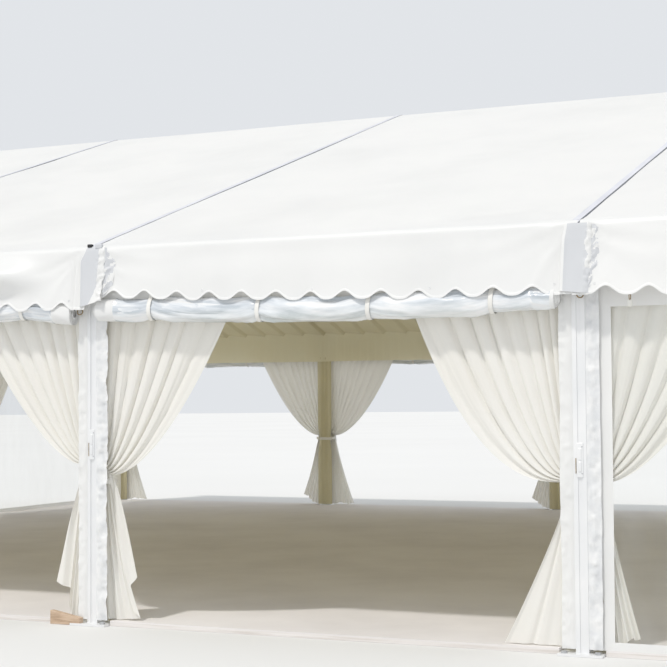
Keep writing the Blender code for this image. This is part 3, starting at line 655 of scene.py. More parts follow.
def gable_panel(side):
    """The gable's triangle, with a scalloped hem below and a lap over the end rafter above."""
    sign, seed = SIGN[side], seed_of("panel", side)
    plane = PANEL_X - 0.002
    half = EAVES_FACE + 0.004
    count = round(2 * half / ARCH_PITCH)
    y = np.linspace(-half, half, count * 8 + 1)
    hem_z = on_sheet(EAVES_S + VALANCE, 0.0)[1]
    wave = (0.5 - 0.5 * np.cos(2 * math.pi * (y + half) / (2 * half / count))) ** ARCH_SHARPNESS
    low = hem_z + ARCH_RISE * wave
    top = on_sheet(np.abs(y) / math.cos(PITCH), 0.001)[1]
    t = np.concatenate([[0, 0.5, 1, 1.08], np.linspace(1.4, 12, 6), np.linspace(15, 100, 11)])[:, None]
    z = low + HEM * np.minimum(t, 1) + (top - low - HEM) * np.maximum(t - 1, 0) / 99
    loose = smoothstep(top - z, 0, 0.35)
    hanging = 1 - smoothstep(z, hem_z + 0.2, hem_z + 0.5)
    fine = 0.006 * noise(y * 4, z * 0.8, seed + 1) * (0.4 + hanging)
    ripple = 0.009 * noise(y * 1.3, z * 0.6, seed) + fine
    out = plane + 0.008 * loose * (0.5 + ripple / 0.009) * 0.5 + ripple * loose
    out = np.maximum(out, plane - 0.001) + HEM_STEP * (t <= 1)
    inward, lift = np.array([(0.0, 0.0), (0.006, 0.0025), (0.013, 0.003), (0.0215, 0.003)]).T[:, :, None]
    x = sign * np.vstack([out, plane - inward + 0 * y])
    points = facing(xyz(x, y, np.vstack([z, top + lift])), sign > 0)
    name = f"gable_panel_{side}"
    piece = surface(f"{name}_cloth", [(points,)], [PVC], [name])


# Covers over the legs' heads

# Left and right edges at three heights, top and both lower ends, shares of the band at the left edge and of
# where creases start, both painted white as highlights, with the kick of a corner, and widths of the gathers
USUAL_COVER = (
    (-0.020, -0.036, -0.040),
    (0.112, 0.112, 0.108),
    (0.010, 0.366, 0.352),
    (0.12, 0.72, 0.5),
    (0.020, 0.050, 0.040, 0.010),
)
COVERS = {
    ("front", 2): (
        (0.009, -0.030, -0.012),
        (0.139, 0.141, 0.144),
        (0.000, 0.356, 0.326),
        (0.08, 0.76, 1.0),
        (0.010, 0.072, 0.058, 0.004),
    ),
    ("front", 3): (
        (-0.050, -0.062, -0.068),
        (0.108, 0.104, 0.090),
        (0.012, 0.364, 0.380),
        (0.165, 0.84, 0.0),
        (0.036, 0.050, 0.042, 0.020),
    ),
}
COVER_HEIGHTS = (0, 0.22, 1)  # shares of a cover from its top


def leg_cover(side, number):
    """A flap over two valances' ends: flat on its left, crumpled on its right, with gathers beside it.

    One corner of it can be kicked out. The left band, the crumpled right part and the kicked corner are
    painted white as highlights on the grey flap, and the gathers are grey painted as shade between white
    zigzags.
    """
    seed = seed_of("cover", side, number)
    lefts, rights, ends, (band, crumple_start, kick), gather = COVERS.get((side, number), USUAL_COVER)
    start, left_end, right_end = ends
    grids = []

    def add_part(x, s, lift, white):
        out, z = on_sheet(s, lift)
        points = on_side(xyz(x - SIGN[side] * FRAME_X[number], -out, z), side)
        # Masked faces take white cloth as painted light; the others take the grey cover cloth
        grids.extend([(points, 0, ~white), (points, 1, white)])

    a, b = np.meshgrid(np.linspace(0, 1, 31), np.linspace(0, 1, 40))
    left, right = (np.interp(b, COVER_HEIGHTS, edges) for edges in (lefts, rights))
    crumple = smoothstep(a, crumple_start - 0.12, crumple_start + 0.05)
    jagged = 0.006 * noise(b * 9, a * 2, seed) + 0.004 * noise(b * 19, a * 3, seed + 6)
    lift = (
        0.014
        + 0.006 * smoothstep(b, 0.0, 0.25)
        - 0.006 * b
        + crumple * 0.010 * (creases(a * 4.5, b * 12, seed + 1) - 0.45)
        + crumple * 0.005 * (creases(a * 6, b * 19, seed + 4) - 0.45)
        + 0.0022 * (1 - crumple) * noise(a * 3, b * 3, seed + 2)
        + 0.005 * hump(a, band * 0.6, band * 0.5) * smoothstep(b, 0.05, 0.3)
        - 0.014 * smoothstep(1 - a, 0.96, 1.0)
        - 0.009 * smoothstep(a, 0.94, 1.0)
        + 0.040 * kick * np.maximum(0, a + 1.25 * b - 1.62)
    )
    inside_a, inside_b = a[1:, 1:], b[1:, 1:]
    ragged = 0.08 * noise(inside_b * 11, inside_a * 2, seed + 8)
    # White on the crumples and the left band: painted highlights
    painted_highlights = (inside_a > crumple_start + ragged) & (inside_b < 0.66 + 0.34 * kick + ragged)
    # The kicked corner is painted white as well, a painted highlight
    kicked = (inside_a + 1.25 * inside_b > 1.66) & (kick > 0.4)
    s = EAVES_S + start + (left_end + (right_end - left_end) * a - start) * b
    add_part(left + (right - left) * a + jagged * crumple, s, lift, painted_highlights | kicked | (inside_a < band))

    a, b = np.meshgrid(np.linspace(0, 1, 14), np.linspace(0.02, 0.92, 34))
    reach = np.interp(b, (0.02, 0.26, 0.7, 0.92), gather) + 0.006 + 0.006 * noise(b * 13, 0.5, seed + 9)
    s = EAVES_S + start + (right_end - start) * b + 0.012 * a * noise(b * 9, a, seed + 10)
    gathers = (creases(b * 13 + a * 1.5, a * 1.6, seed + 11) - 0.4) * np.sin(math.pi * a)
    # Grey cloth painted as shade in the gathers, with white zigzags painted as their lit ridges
    painted_lit_zigzags = noise(b * 15 + a * 1.5, a * 1.3, seed + 12) > 0.16 - 0.35 * (a - 0.5)
    x = np.interp(b, COVER_HEIGHTS, rights) - 0.006 + reach * a
    add_part(x, s, 0.011 - 0.012 * a + 0.011 * gathers, painted_lit_zigzags[1:, 1:])
    piece = surface(f"leg_cover_{side}_{number + 1}", grids, [COVER, PVC])


# Rolled-up walls
ROLL_TURNS = 7.0
ROLL_TALL, ROLL_DEEP = 0.069, 0.054  # half its height and half its depth
ROLL_HALF_LENGTH = (ROLL_HIGH.x - ROLL_LOW.x) / 2
ROLL_OUT = 0.055  # of its axis from the legs' faces
ROLL_START = math.radians(205)  # where its outermost layer starts, on the legs' side
CORE = 0.28  # the innermost turn's share of the outermost
STRAP_X = [-1.035, -0.326, 0.358, 1.063]
STRAP_HALF = 0.0125  # of a strap's width
CUFF = 0.125  # of white at each end
END_CUFFS = {("front", 2): (0.125, 0.022)}  # left and right
ROLL_RISES = {
    ("front", 1): ((-1.4, -0.326, 0.358, 1.063, 1.4), (0.030, 0.062, 0.065, 0.052, 0.005)),
    ("front", 2): ((-1.4, -1.035, -0.326, 0.358, 1.063, 1.4), (0.022, 0.028, 0.006, 0.0, 0.006, 0.014)),
}
LEVEL = ((0.0,), (0.0,))


def strap_distances(x):
    """Distances from the strap or cuff on the left and to the one on the right."""
    stops = [-ROLL_HALF_LENGTH + CUFF, *STRAP_X, ROLL_HALF_LENGTH - CUFF]
    since = np.min([np.where(x >= at, x - at, 9.0) for at in stops], axis=0)
    until = np.min([np.where(x < at, at - x, 9.0) for at in stops], axis=0)
    return since, until


def fold_places(x, angle):
    """Places on the roll's skin, bent so that folds run up to the straps."""
    since, until = strap_distances(x)
    swag = 0.078 * np.exp(-since / 0.34) + 0.060 * np.exp(-until / 0.24)
    return x, angle * 0.06 - swag


def roll_section(x, angle, shrink, seed, crumpled, cuffs=(CUFF, CUFF)):
    """A point of the roll's skin, x from the bay's centre, angle from straight out, growing upwards."""
    strap = sum(hump(x, at, 0.045) for at in STRAP_X)
    end = smoothstep(np.abs(x), ROLL_HALF_LENGTH - 0.30, ROLL_HALF_LENGTH)
    tall = ROLL_TALL * (1 - 0.06 * strap)
    deep = ROLL_DEEP * (1 - 0.04 * end - 0.12 * strap) * (1 - 0.10 * np.sin(angle))
    sink = -0.010 * (1 - (x / ROLL_HALF_LENGTH) ** 2) + 0.003 * strap + 0.006 * end
    across = fold_places(x, angle)[1]
    near = np.exp(-np.min(strap_distances(x), axis=0) / 0.20)
    folds = 0.015 * (creases(x * 1.7 + 5, across * 17, seed) - 0.5)
    fine = 0.006 * (creases(x * 3.4, across * 42, seed + 4) - 0.5) * (0.4 + 0.9 * near)
    body = folds + fine + 0.003 * noise(x * 5, angle * 0.6, seed + 3)
    from_end = ROLL_HALF_LENGTH - np.abs(x) - np.where(x < 0, *cuffs)
    plain = 1 - smoothstep(from_end, -0.005, 0.03)
    bump = crumpled * (body * (1 - 0.75 * plain) * (1 - 0.5 * strap) + 0.0018 * plain)
    return (deep * shrink + bump) * np.cos(angle), (tall * shrink + bump) * np.sin(angle) + sink


def rolled_wall(side, bay):
    """A clear wall rolled up: its white ends make cuffs, its clear middle creases between the straps.

    One on the back is made at its place before the half turn.
    """
    seed = seed_of("roll", side, bay)
    name = f"rolled_wall_{side}_{bay + 1}"
    low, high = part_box(f"rolled_wall_front_{bay + 1}")
    middle = -SIGN[side] * (low.x + high.x) / 2 - 0.007
    axis_y = -LEG_FACE - ROLL_OUT
    axis_z = low.z + ROLL_TALL + 0.012
    rises = ROLL_RISES.get((side, bay), LEVEL)
    cuffs = END_CUFFS.get((side, bay), (CUFF, CUFF))

    def skin(turn, x, inward, crumpled):
        angle = ROLL_START - 2 * math.pi * turn
        shrink, next_shrink = (1 - (1 - CORE) * (k / ROLL_TURNS) ** 1.1 for k in (turn, turn + 1))
        slip = 0.014 * noise(turn * 0.9, 0.5, seed + 6) * smoothstep(turn, 0.2, 1.0)
        slip = slip + 0.022 * turn / ROLL_TURNS
        x = x + slip * np.sign(x) * smoothstep(np.abs(x), ROLL_HALF_LENGTH - 0.2, ROLL_HALF_LENGTH)
        y, z = roll_section(x, angle, shrink + (next_shrink - shrink) * inward, seed, crumpled, cuffs)
        points = xyz(middle + x, axis_y - y, axis_z + z + np.interp(x, *rises))
        return on_side(points, side), np.stack(fold_places(x, angle), axis=-1)

    first, last = cuffs[0] - ROLL_HALF_LENGTH, ROLL_HALF_LENGTH - cuffs[1]
    left_cuff = np.linspace(-ROLL_HALF_LENGTH, first, 8)
    right_cuff = np.linspace(last, ROLL_HALF_LENGTH, 8)
    body = np.linspace(first, last, 151)
    outer, inner = np.linspace(0, 1.05, 52), np.linspace(1.05, ROLL_TURNS, 84)
    grids = []
    for turns, crumpled, step, cuff_step in ((outer, 1.0, 1, 1), (inner, 0.25, 10, 2)):
        for along, number in ((body[::step], 0), (right_cuff[::cuff_step], 1), (left_cuff[::cuff_step], 1)):
            points, places = skin(*np.meshgrid(turns, along), 0, crumpled)
            grids.append((points, number, None, places))
    for sign in (-1, 1):
        # Edges of the layers at one end, with a shallow groove between them
        turn, inward = np.meshgrid(np.linspace(0, ROLL_TURNS - 1, 100), np.linspace(0, 1, 6))
        groove = 0.006 * np.sin(math.pi * inward) ** 0.5
        points, places = skin(turn, sign * (ROLL_HALF_LENGTH - groove), inward, 0.25)
        grids.append((points, 1, None, places))
    along, fall = np.meshgrid(np.linspace(-ROLL_HALF_LENGTH, ROLL_HALF_LENGTH, 90), np.linspace(0, 1, 9))
    soft = 0.004 * noise(along * 2.5, fall, seed + 7) * np.sin(math.pi * fall)
    hung_y = -EAVES_FACE + 0.004 + (EAVES_FACE - LEG_FACE - 0.050) * fall + soft
    hung_low = axis_z + np.interp(along, *rises) + 0.60 * ROLL_TALL
    hung_z = EAVES_LOW.z + 0.01 + (hung_low - EAVES_LOW.z - 0.01) * fall
    grids.append((on_side(xyz(middle + along, hung_y, hung_z), side), 1))
    piece = surface(f"{name}_cloth", grids, [ROLLED, PVC], [name])
    straps = roll_straps(name, side, middle, axis_y, axis_z, rises, seed)


def roll_straps(wall, side, middle, axis_y, axis_z, rises, seed):
    """Webbing loops from the eaves rail round the roll."""
    grids = []
    w = np.linspace(-STRAP_HALF, STRAP_HALF, 5)[:, None]
    for number, at in enumerate(STRAP_X):
        angle = np.linspace(math.radians(88), math.radians(-268), 44)
        y, z = roll_section(np.full(44, at), angle, 1.0, seed, 0.0)
        y = axis_y - y - 0.0050 * np.cos(angle)
        z = axis_z + z + 0.0050 * np.sin(angle) + np.interp(at, *rises)
        path_y = np.concatenate([np.linspace(-EAVES_FACE - 0.0035, y[0] - 0.012, 7), y[4:-3]])
        path_z = np.concatenate([np.linspace(EAVES_LOW.z + 0.012, z[0] + 0.02, 7), z[4:-3]])
        lean = np.random.default_rng(seed + 20 + number).uniform(-0.006, 0.006)
        x = middle + at + w + lean * np.sin(np.linspace(0, 1, len(path_y)) * math.pi)
        for offset in (0.0, 0.0022):
            grids.append((on_side(xyz(x, path_y - offset + 0.0012 * (w / STRAP_HALF) ** 2, path_z), side),))
    return surface(f"{wall}_straps", grids, [WEBBING])


# Window walls
WINDOW_LAP = 0.015
GABLE_BORDER = 0.135  # of white on each side of a gable post
SLIT_LOW, SLIT_TALL, SLIT_SHARE = 0.13, 0.30, 0.57  # where the border narrows beside its leg


def framed_grid(u_edges, v_edges, holes, step):
    """Grids of both coordinates, with lines through every edge, and which faces show round the holes."""
    lines = []
    for edges in (u_edges, v_edges):
        parts = [np.linspace(a, b, max(2, int((b - a) / step) + 2))[:-1] for a, b in zip(edges, edges[1:])]
        lines.append(np.concatenate([*parts, [edges[-1]]]))
    mid_u, mid_v = np.meshgrid(*((line[1:] + line[:-1]) / 2 for line in lines))
    shown = np.ones(mid_u.shape, bool)
    for u0, v0, u1, v1 in holes:
        shown &= ~((mid_u > u0) & (mid_u < u1) & (mid_v > v0) & (mid_v < v1))
    return *np.meshgrid(*lines), shown


def window_wall(side):
    """The closed bay: a white border, and the clear film welded behind it."""
    seed = seed_of("window", side)
    x0, x1 = FRAME_X[-2] + LEG_HALF_WIDTH + 0.001, FRAME_X[-1] - LEG_HALF_WIDTH - 0.001
    z0, z1 = WALL_LOW.z, WALL_HIGH.z
    film_x0, film_x1 = FILM_LOW.x + WINDOW_LAP, FILM_HIGH.x - WINDOW_LAP
    film_z0, film_z1 = FILM_LOW.z + WINDOW_LAP, FILM_HIGH.z - WINDOW_LAP
    # The half turn moves the back's wall to the far end, and this moves it to its own bay
    back_shift = np.array([0 if side == "front" else FRAME_X[-2] + FRAME_X[-1], 0, 0])

    def billow(x, z):
        edge = np.minimum(np.minimum(x - x0, x1 - x), z1 - z)
        wave = 0.006 * noise(x * 1.6, z * 1.1, seed) + 0.003 * noise(x * 5, z * 2.2, seed + 1)
        return -(0.004 + wave) * smoothstep(edge, 0, 0.12)

    hole = (film_x0, film_z0, film_x1, film_z1)
    x, z, shown = framed_grid([x0, film_x0, film_x1, x1], [z0, film_z0, film_z1, z1], [hole], 0.03)
    slit = np.sin(math.pi * np.clip((z - SLIT_LOW) / SLIT_TALL, 0, 1)) ** 2
    x = np.where(x < film_x0, film_x0 - (film_x0 - x) * (1 - SLIT_SHARE * slit), x)
    border = on_side(xyz(x, WALL_PLANE + billow(x, z), z), side) + back_shift
    name = f"window_wall_{side}"
    wall = surface(f"{name}_cloth", [(border, 0, shown)], [PVC], [name])
    x, z = np.meshgrid(np.linspace(FILM_LOW.x, FILM_HIGH.x, 84), np.linspace(FILM_LOW.z, FILM_HIGH.z, 50))
    inside = np.minimum.reduce([x - film_x0, film_x1 - x, z - film_z0, film_z1 - z])
    ripple = 0.006 * noise(x * 2.2, z * 1.2, seed + 2) + 0.0025 * creases(x * 5 + z, z * 1.6, seed + 3)
    y = WALL_PLANE + 0.0022 + billow(x, z) + ripple * smoothstep(inside, 0.0, 0.25)
    film = on_side(xyz(x, y, z), side) + back_shift
    name = f"window_film_{side}"
    clear = surface(f"{name}_sheet", [(film,)], [FILM], [name])


def gable_wall(side):
    """A gable's lower wall: three windows in one white sheet, each with its own film."""
    sign, seed = SIGN[side], seed_of("gable_wall", side)
    z0, z1 = GABLE_WALL_LOW.z, GABLE_WALL_HIGH.z
    half = GABLE_WALL_HIGH.y
    film_z0, film_z1 = GABLE_FILM_LOW.z + WINDOW_LAP, GABLE_FILM_HIGH.z - WINDOW_LAP
    outer = GABLE_FILM_HIGH.y - WINDOW_LAP
    starts = [-outer, -POST_Y + GABLE_BORDER, POST_Y + GABLE_BORDER]
    ends = [-POST_Y - GABLE_BORDER, POST_Y - GABLE_BORDER, outer]
    plane = (GABLE_WALL_LOW.x + GABLE_WALL_HIGH.x) / 2

    def billow(y, z):
        post = np.minimum(np.abs(y - POST_Y), np.abs(y + POST_Y))
        edge = np.minimum.reduce([post, half - np.abs(y), z1 - z])
        wave = 0.006 * noise(y * 1.5, z * 1.1, seed) + 0.0025 * noise(y * 5, z * 2.2, seed + 1)
        return (0.003 + wave) * smoothstep(edge, 0, 0.15)

    holes = [(a, film_z0, b, film_z1) for a, b in zip(starts, ends)]
    edges = sorted([-half, half, *starts, *ends])
    y, z, shown = framed_grid(edges, [z0, film_z0, film_z1, z1], holes, 0.045)
    sheet = facing(xyz(sign * (plane + billow(y, z)), y, z), sign > 0)
    name = f"gable_wall_{side}"
    grids = [(sheet, 0, facing(shown, sign > 0))]
    wall = surface(f"{name}_cloth", grids, [PVC], [name])
    grids = []
    for start, end in zip(starts, ends):
        u = np.linspace(start - WINDOW_LAP, end + WINDOW_LAP, 60)
        y, z = np.meshgrid(u, np.linspace(film_z0 - WINDOW_LAP, film_z1 + WINDOW_LAP, 34))
        inside = np.minimum.reduce([y - start, end - y, z - film_z0, film_z1 - z])
        ripple = 0.005 * noise(y * 2, z * 1.2, seed + 2) + 0.002 * creases(y * 5 + z, z * 1.6, seed + 3)
        x = plane - 0.0022 + billow(y, z) + ripple * smoothstep(inside, 0, 0.25)
        grids.append((facing(xyz(sign * x, y, z), sign > 0),))
    name = f"gable_film_{side}"
    clear = surface(f"{name}_sheet", grids, [FILM], [name])


# Drapes
DRAPE_TOP = DRAPE_HIGH.z
DRAPE_REACH = 1.05
DRAPE_DEPTH = 0.05
DRAPE_LIMIT = DRAPE_DEPTH / 2 + 0.004  # no fold stands out farther
FOLD_DEPTH = 0.0265
WAIST = 0.115
TIE_LOW, TIE_HIGH = 0.840, 0.872  # of the band round the waist
USUAL_WING = {
    "sweep": 0.58,  # power of the free edge's curve above the waist
    "waist": 0.89,  # height at the free edge
    "flare": (1.3, 1.3),  # powers of the spread below the waist, within and at the free edge
    "foot": 0.33,  # reach at the floor
    "lift": 0.0,  # of the hem towards the free edge
    "hem": None,  # or shares of the width, and the reaches and heights of the hem there
    "folds": 10,
    "crowding": 0.38,  # of the folds towards the post
    "low_folds": 7.2,
    "low_depth": 0.8,
    "delay": 0.0,  # share of the height below the waist that stays narrow
}
WINGS = {
    ("front", 2, "left"): {
        "sweep": 0.66,
        "waist": 0.955,
        "folds": 8.2,
        "crowding": 0.15,
        "flare": (0.95, 0.95),
        "delay": 0.16,
        "low_depth": 0.45,
        "hem": (
            (0, 0.3, 0.6, 0.76, 0.83, 0.88, 1),
            (0.036, 0.09, 0.15, 0.196, 0.188, 0.182, 0.287),
            (0, 0, 0, 0.012, 0.09, 0.165, 0.205),
        ),
    },
    ("front", 2, "right"): {
        "flare": (1.7, 0.80),
        "folds": 7.6,
        "crowding": 0.12,
        "low_folds": 5.0,
        "low_depth": 0.45,
        "hem": (
            (0, 0.25, 0.5, 0.70, 0.77, 0.83, 0.89, 1),
            (0.036, 0.10, 0.20, 0.305, 0.262, 0.231, 0.233, 0.283),
            (0, 0, 0, 0.012, 0.055, 0.14, 0.205, 0.255),
        ),
    },
    ("front", 3, "left"): {
        "sweep": 0.43,
        "flare": (1.12, 1.12),
        "delay": 0.18,
        "low_folds": 2.3,
        "low_depth": 0.25,
        "hem": ((0, 0.5, 0.9, 1), (0.036, 0.215, 0.385, 0.435), (0, 0, 0, 0)),
    },
    ("front", 3, "right"): {"foot": 0.30, "lift": 0.05, "folds": 8.0, "crowding": 0.20},
}


def fold_profile(phase, skew):
    """Rounded folds with sharper valleys, from -1 to 1, steeper towards the post."""
    leaning = phase + skew * np.sin(phase) + 0.50 * np.cos(phase)
    return 2 * np.abs(np.cos(leaning / 2)) ** 0.55 - 1


def drape_wing(name, node, post, across, outward, seed, shape, fine):
    """One wing of a swagged drape.

    Post is the point on the floor where the wing's distances start, across the direction to its free
    edge, and outward the direction that its folds face. Shape changes some of the usual wing.
    """
    shape = {**USUAL_WING, **shape}
    columns, upper, lower = (140, 50, 29) if fine else (88, 32, 17)
    a = np.linspace(0, 1, columns)
    tau = np.linspace(1, 0, upper)[:, None]
    low = np.linspace(0, 1, lower)[1:, None]
    inner = LEG_HALF_WIDTH + 0.001
    waist = inner + (WAIST - inner) * a**0.8
    top = inner + (DRAPE_REACH - inner) * a
    power = 0.80 - (0.80 - shape["sweep"]) * a**0.7
    waist_z = shape["waist"] + 0.10 * (1 - a) ** 1.5
    hem_wave = np.abs(0.020 * noise(a * 5, 0.5, seed + 1) + 0.012 * np.sin(2 * math.pi * a * 2.6 + seed))
    if shape["hem"]:
        shares, distances, heights = shape["hem"]
        reach = np.interp(a, shares, distances)
        hem_z = FLOOR_TOP + 0.004 + np.interp(a, shares, heights) + 0.15 * hem_wave
    else:
        reach = waist + (shape["foot"] - WAIST) * a**0.9
        lifted = shape["lift"] * smoothstep(a, 0.35, 0.95)
        hem_z = FLOOR_TOP + 0.006 + lifted + hem_wave * smoothstep(a, 0.1, 0.5)
    opened = np.clip((low - shape["delay"]) / (1 - shape["delay"]), 0, 1)
    flare = np.interp(a, (0.78, 0.90), shape["flare"])
    d = np.vstack([waist + (top - waist) * tau ** (2 * power), waist + (reach - waist) * opened**flare])
    z = np.vstack([waist_z + (DRAPE_TOP - waist_z) * tau**2, waist_z + (hem_z - waist_z) * low])

    height = np.vstack([tau, -low]) * np.ones(columns)
    a = np.broadcast_to(a, d.shape)
    wander = 0.30 * noise(a * 4, height * 0.9, seed + 2)
    spread = a * (1 + shape["crowding"]) - shape["crowding"] * a**2
    upper_phase = 2 * math.pi * (shape["folds"] * spread + wander)
    lower_phase = 2 * math.pi * (shape["low_folds"] * a**0.9 + 1.3 * wander)
    bottom = smoothstep(-height, 0.02, 0.22)
    upper_folds = fold_profile(upper_phase, 0.32 * noise(a * 6, 0.5, seed + 3) + 0.08)
    upper_folds = upper_folds * (1 - 0.72 * smoothstep(a, 0.80, 0.93))
    upper_folds = upper_folds + 0.07 * np.sin(upper_phase * 2.4 + 4 * noise(a * 3, height * 2, seed + 5))
    lower_folds = np.sin(lower_phase) * 0.9 + 0.25 * np.sin(2.1 * lower_phase + 1)
    strength = np.clip(0.95 + 0.60 * noise(a * 7, height, seed + 4), 0.45, 1.25)
    header = 0.62 + 0.38 * smoothstep(1 - height, 0.0, 0.25)
    depth = FOLD_DEPTH * np.where(height > 0, header, 1.0 + (shape["low_depth"] - 1.0) * bottom)
    waisted = hump(height, 0, 0.10)
    offset = depth * strength * (upper_folds * (1 - bottom) + lower_folds * bottom)
    belly = 0.012 * np.sin(math.pi * np.clip(height, 0, 1)) * a
    free_edge = 0.006 * smoothstep(a, 0.955, 1.0) + 0.0015 * smoothstep(a, 0.968, 0.972)
    offset = DRAPE_LIMIT * np.tanh((offset + belly + free_edge) * (1 - 0.15 * waisted) / DRAPE_LIMIT)
    sideways = 0.35 * depth * np.cos(upper_phase) * (1 - waisted) * (1 - bottom) * smoothstep(a, 0, 0.05)
    d = d + sideways * (1 - smoothstep(a, 0.9, 1.0))
    points = np.stack([d, offset, z], axis=-1) @ np.array([across, outward, (0, 0, 1)], float) + post
    piece = surface(name, [(points,)], [DRAPE], [node])


def leg_drapes(side, number):
    """The wings on one leg of a long side, and the band that ties them."""
    sign, seed = SIGN[side], seed_of("drape", side, number)
    x = FRAME_X[number]
    node = f"drape_{side}_{number + 1}"
    for label, usual in (("left", {"lift": 0.10}), ("right", {"foot": 0.36})):
        towards = SIGN[label]
        if beyond_end(number, towards):
            post = (x, sign * (LEG_BACK + LEG_HALF_WIDTH), 0)
            across, outward = (0, -sign, 0), (towards, 0, 0)
        else:
            post = (x, sign * (-DRAPE_LOW.y - DRAPE_DEPTH / 2), 0)
            across, outward = (towards, 0, 0), (0, sign, 0)
        shape = WINGS.get((side, number, label), usual)
        drape_wing(f"{node}_{label}", node, post, across, outward, seed + towards, shape, side == "front")
    tie_band(side, number)


def tie_band(side, number):
    """A strip of the drapes' cloth round a leg and both waists."""
    sign = SIGN[side]
    inner_y, outer_y = LEG_BACK - 0.012, -DRAPE_LOW.y + 0.002
    turn = np.linspace(0, 2 * math.pi, 73)
    share = np.linspace(0, 1, 7)[:, None]
    bulge = 0.002 * np.sin(math.pi * share) + 0.0012 * np.sin(turn * 9 + share * 3)
    x = (WAIST - 0.002 + bulge) * np.sign(np.cos(turn)) * np.abs(np.cos(turn)) ** 0.55
    y = ((outer_y - inner_y) / 2 + 0.002 + bulge) * np.sign(np.sin(turn)) * np.abs(np.sin(turn)) ** 0.45
    z = TIE_LOW + (TIE_HIGH - TIE_LOW) * share + 0.003 * np.sin(turn * 2 + number)
    points = xyz(FRAME_X[number] + x, sign * ((inner_y + outer_y) / 2 + y), z)
    grids = [(facing(points, sign > 0),)]
    piece = surface(f"drape_tie_{side}_{number + 1}", grids, [DRAPE])


def gable_drapes(side):
    """Drapes on a gable's two posts and the header tape that carries them."""
    sign = SIGN[side]
    node = f"gable_drapes_{side}"
    low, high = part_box(node)
    centre_x = sign * (EAVES_HIGH.x - 0.03)
    for (i, y), towards in product(enumerate((-POST_Y, POST_Y)), (-1, 1)):
        name = f"{node}_wing_{i * 2 + (towards > 0) + 1}"
        seed = seed_of("gable_drape", side, i) + towards
        shape = {"foot": 0.34, "lift": 0.04 * i}
        drape_wing(name, node, (centre_x, y, 0), (0, towards, 0), (sign, 0, 0), seed, shape, False)
    tape, rise = np.meshgrid(np.linspace(-POST_Y, POST_Y, 240), np.linspace(0, 1, 6))
    inner = min(abs(low.x), abs(high.x)) + 0.003
    x = sign * (inner + 0.003 * np.sin(tape * 2 * math.pi / 0.05) * (1 - 0.5 * rise))
    grids = [(facing(xyz(x, tape, DRAPE_TOP - 0.04 + 0.04 * rise), sign < 0),)]
    header = surface(f"{node}_header", grids, [DRAPE])


# Lining
PLEAT, PLEAT_DEPTH = 0.27, 0.030
PELMET_PLEAT = 0.105
SLEEVE_HALF, SLEEVE_WAIST = 0.094, 0.842  # half a leg sleeve's width, and the height where it narrows


def ceiling():
    """The pleated lining under the rafters, its pleats running down the slopes."""
    low, high = LINING_LOW, LINING_HIGH
    half = high.y - 0.006
    columns = np.linspace(low.x, high.x, int((high.x - low.x) / PLEAT) * 12)
    rows = [np.linspace(-half, -0.15, 17), np.linspace(-0.1, 0.1, 5), np.linspace(0.15, half, 17)]
    x, y = np.meshgrid(columns, np.concatenate(rows))
    phase = x / PLEAT + 0.25 * noise(x * 0.7, y * 0.5, CEILING_SEED)
    pleat = (phase - np.floor(phase)) ** 1.6
    from_frame = np.min([np.abs(x - at) for at in FRAME_X], axis=0)
    slope = np.clip(1 - np.abs(y) / high.y, 0, 1)
    sag = 0.022 * np.sin(math.pi * slope) * smoothstep(from_frame, 0, 0.8)
    sag = sag + 0.003 * (1 + noise(x * 1.5, y * 2, CEILING_SEED + 2))
    z = high.z - 0.006 - np.abs(y) * RISE - PLEAT_DEPTH * pleat - sag
    piece = surface("roof_lining_cloth", [(xyz(x, y, z),)], [LINING], ["roof_lining"])


def pelmet(side):
    """The lining's edge, hanging inside a row of legs in soft pleats, with a seam at each leg."""
    sign, seed = SIGN[side], seed_of("pelmet", side)
    low, high = LINING_LOW, LINING_HIGH
    top = high.z - high.y * RISE - 0.006
    x, t = np.meshgrid(np.linspace(low.x, high.x, 640), np.linspace(0, 1, 11))
    phase = 2 * math.pi * (x / PELMET_PLEAT + 0.3 * noise(x * 1.1, 0.5, seed))
    pleat = 0.5 + 0.5 * np.sin(phase + 1.2 * np.sin(phase))
    at_leg, seam = (sum(hump(x, at, width) for at in FRAME_X) for width in (0.16, 0.008))
    inward = 0.004 + 0.007 * pleat * (0.4 + 0.6 * t) + 0.010 * at_leg * t - 0.005 * seam
    inward = inward + 0.003 * noise(x * 6, t * 2, seed + 1)
    hem = low.z + 0.004 * noise(x * 2, 0.5, seed + 2)
    points = facing(xyz(x, sign * (high.y - inward), top + (hem - top) * t), sign > 0)
    piece = surface(f"pelmet_{side}", [(points,)], [PELMET])


def leg_lining(side, number):
    """A loose sleeve of lining cloth on a leg's inner side, under the pelmet."""
    sign, seed = SIGN[side], seed_of("lining", side, number)
    column = np.linspace(FLOOR_TOP + 0.004, LINING_LOW.z + 0.05, 30)
    a, z = np.meshgrid(np.linspace(-1, 1, 27), column)
    tied = hump(z, SLEEVE_WAIST, 0.10)
    seam = hump(a, 0, 0.05)
    x = FRAME_X[number] + (SLEEVE_HALF - 0.022 * tied) * a
    if number == 0:
        x = np.maximum(x, FRAME_X[0] - LEG_HALF_WIDTH + 0.004 * a)
    if number == BAYS:
        x = np.minimum(x, FRAME_X[-1] + LEG_HALF_WIDTH + 0.004 * a)
    soft = 0.006 * noise(a * 3.2, z * 1.1, seed) + 0.004 * np.sin(a * 9 + 2 * noise(z, 0.5, seed + 1))
    round_leg = 0.020 * np.abs(a) ** 6
    inward = np.maximum(0.010 + soft * (1 - seam) - 0.004 * seam - 0.006 * tied, 0.0015) - round_leg
    points = facing(xyz(x, sign * (LEG_BACK - inward), z), sign > 0)
    piece = surface(f"leg_lining_{side}_{number + 1}", [(points,)], [LINING])


# Fittings on the legs

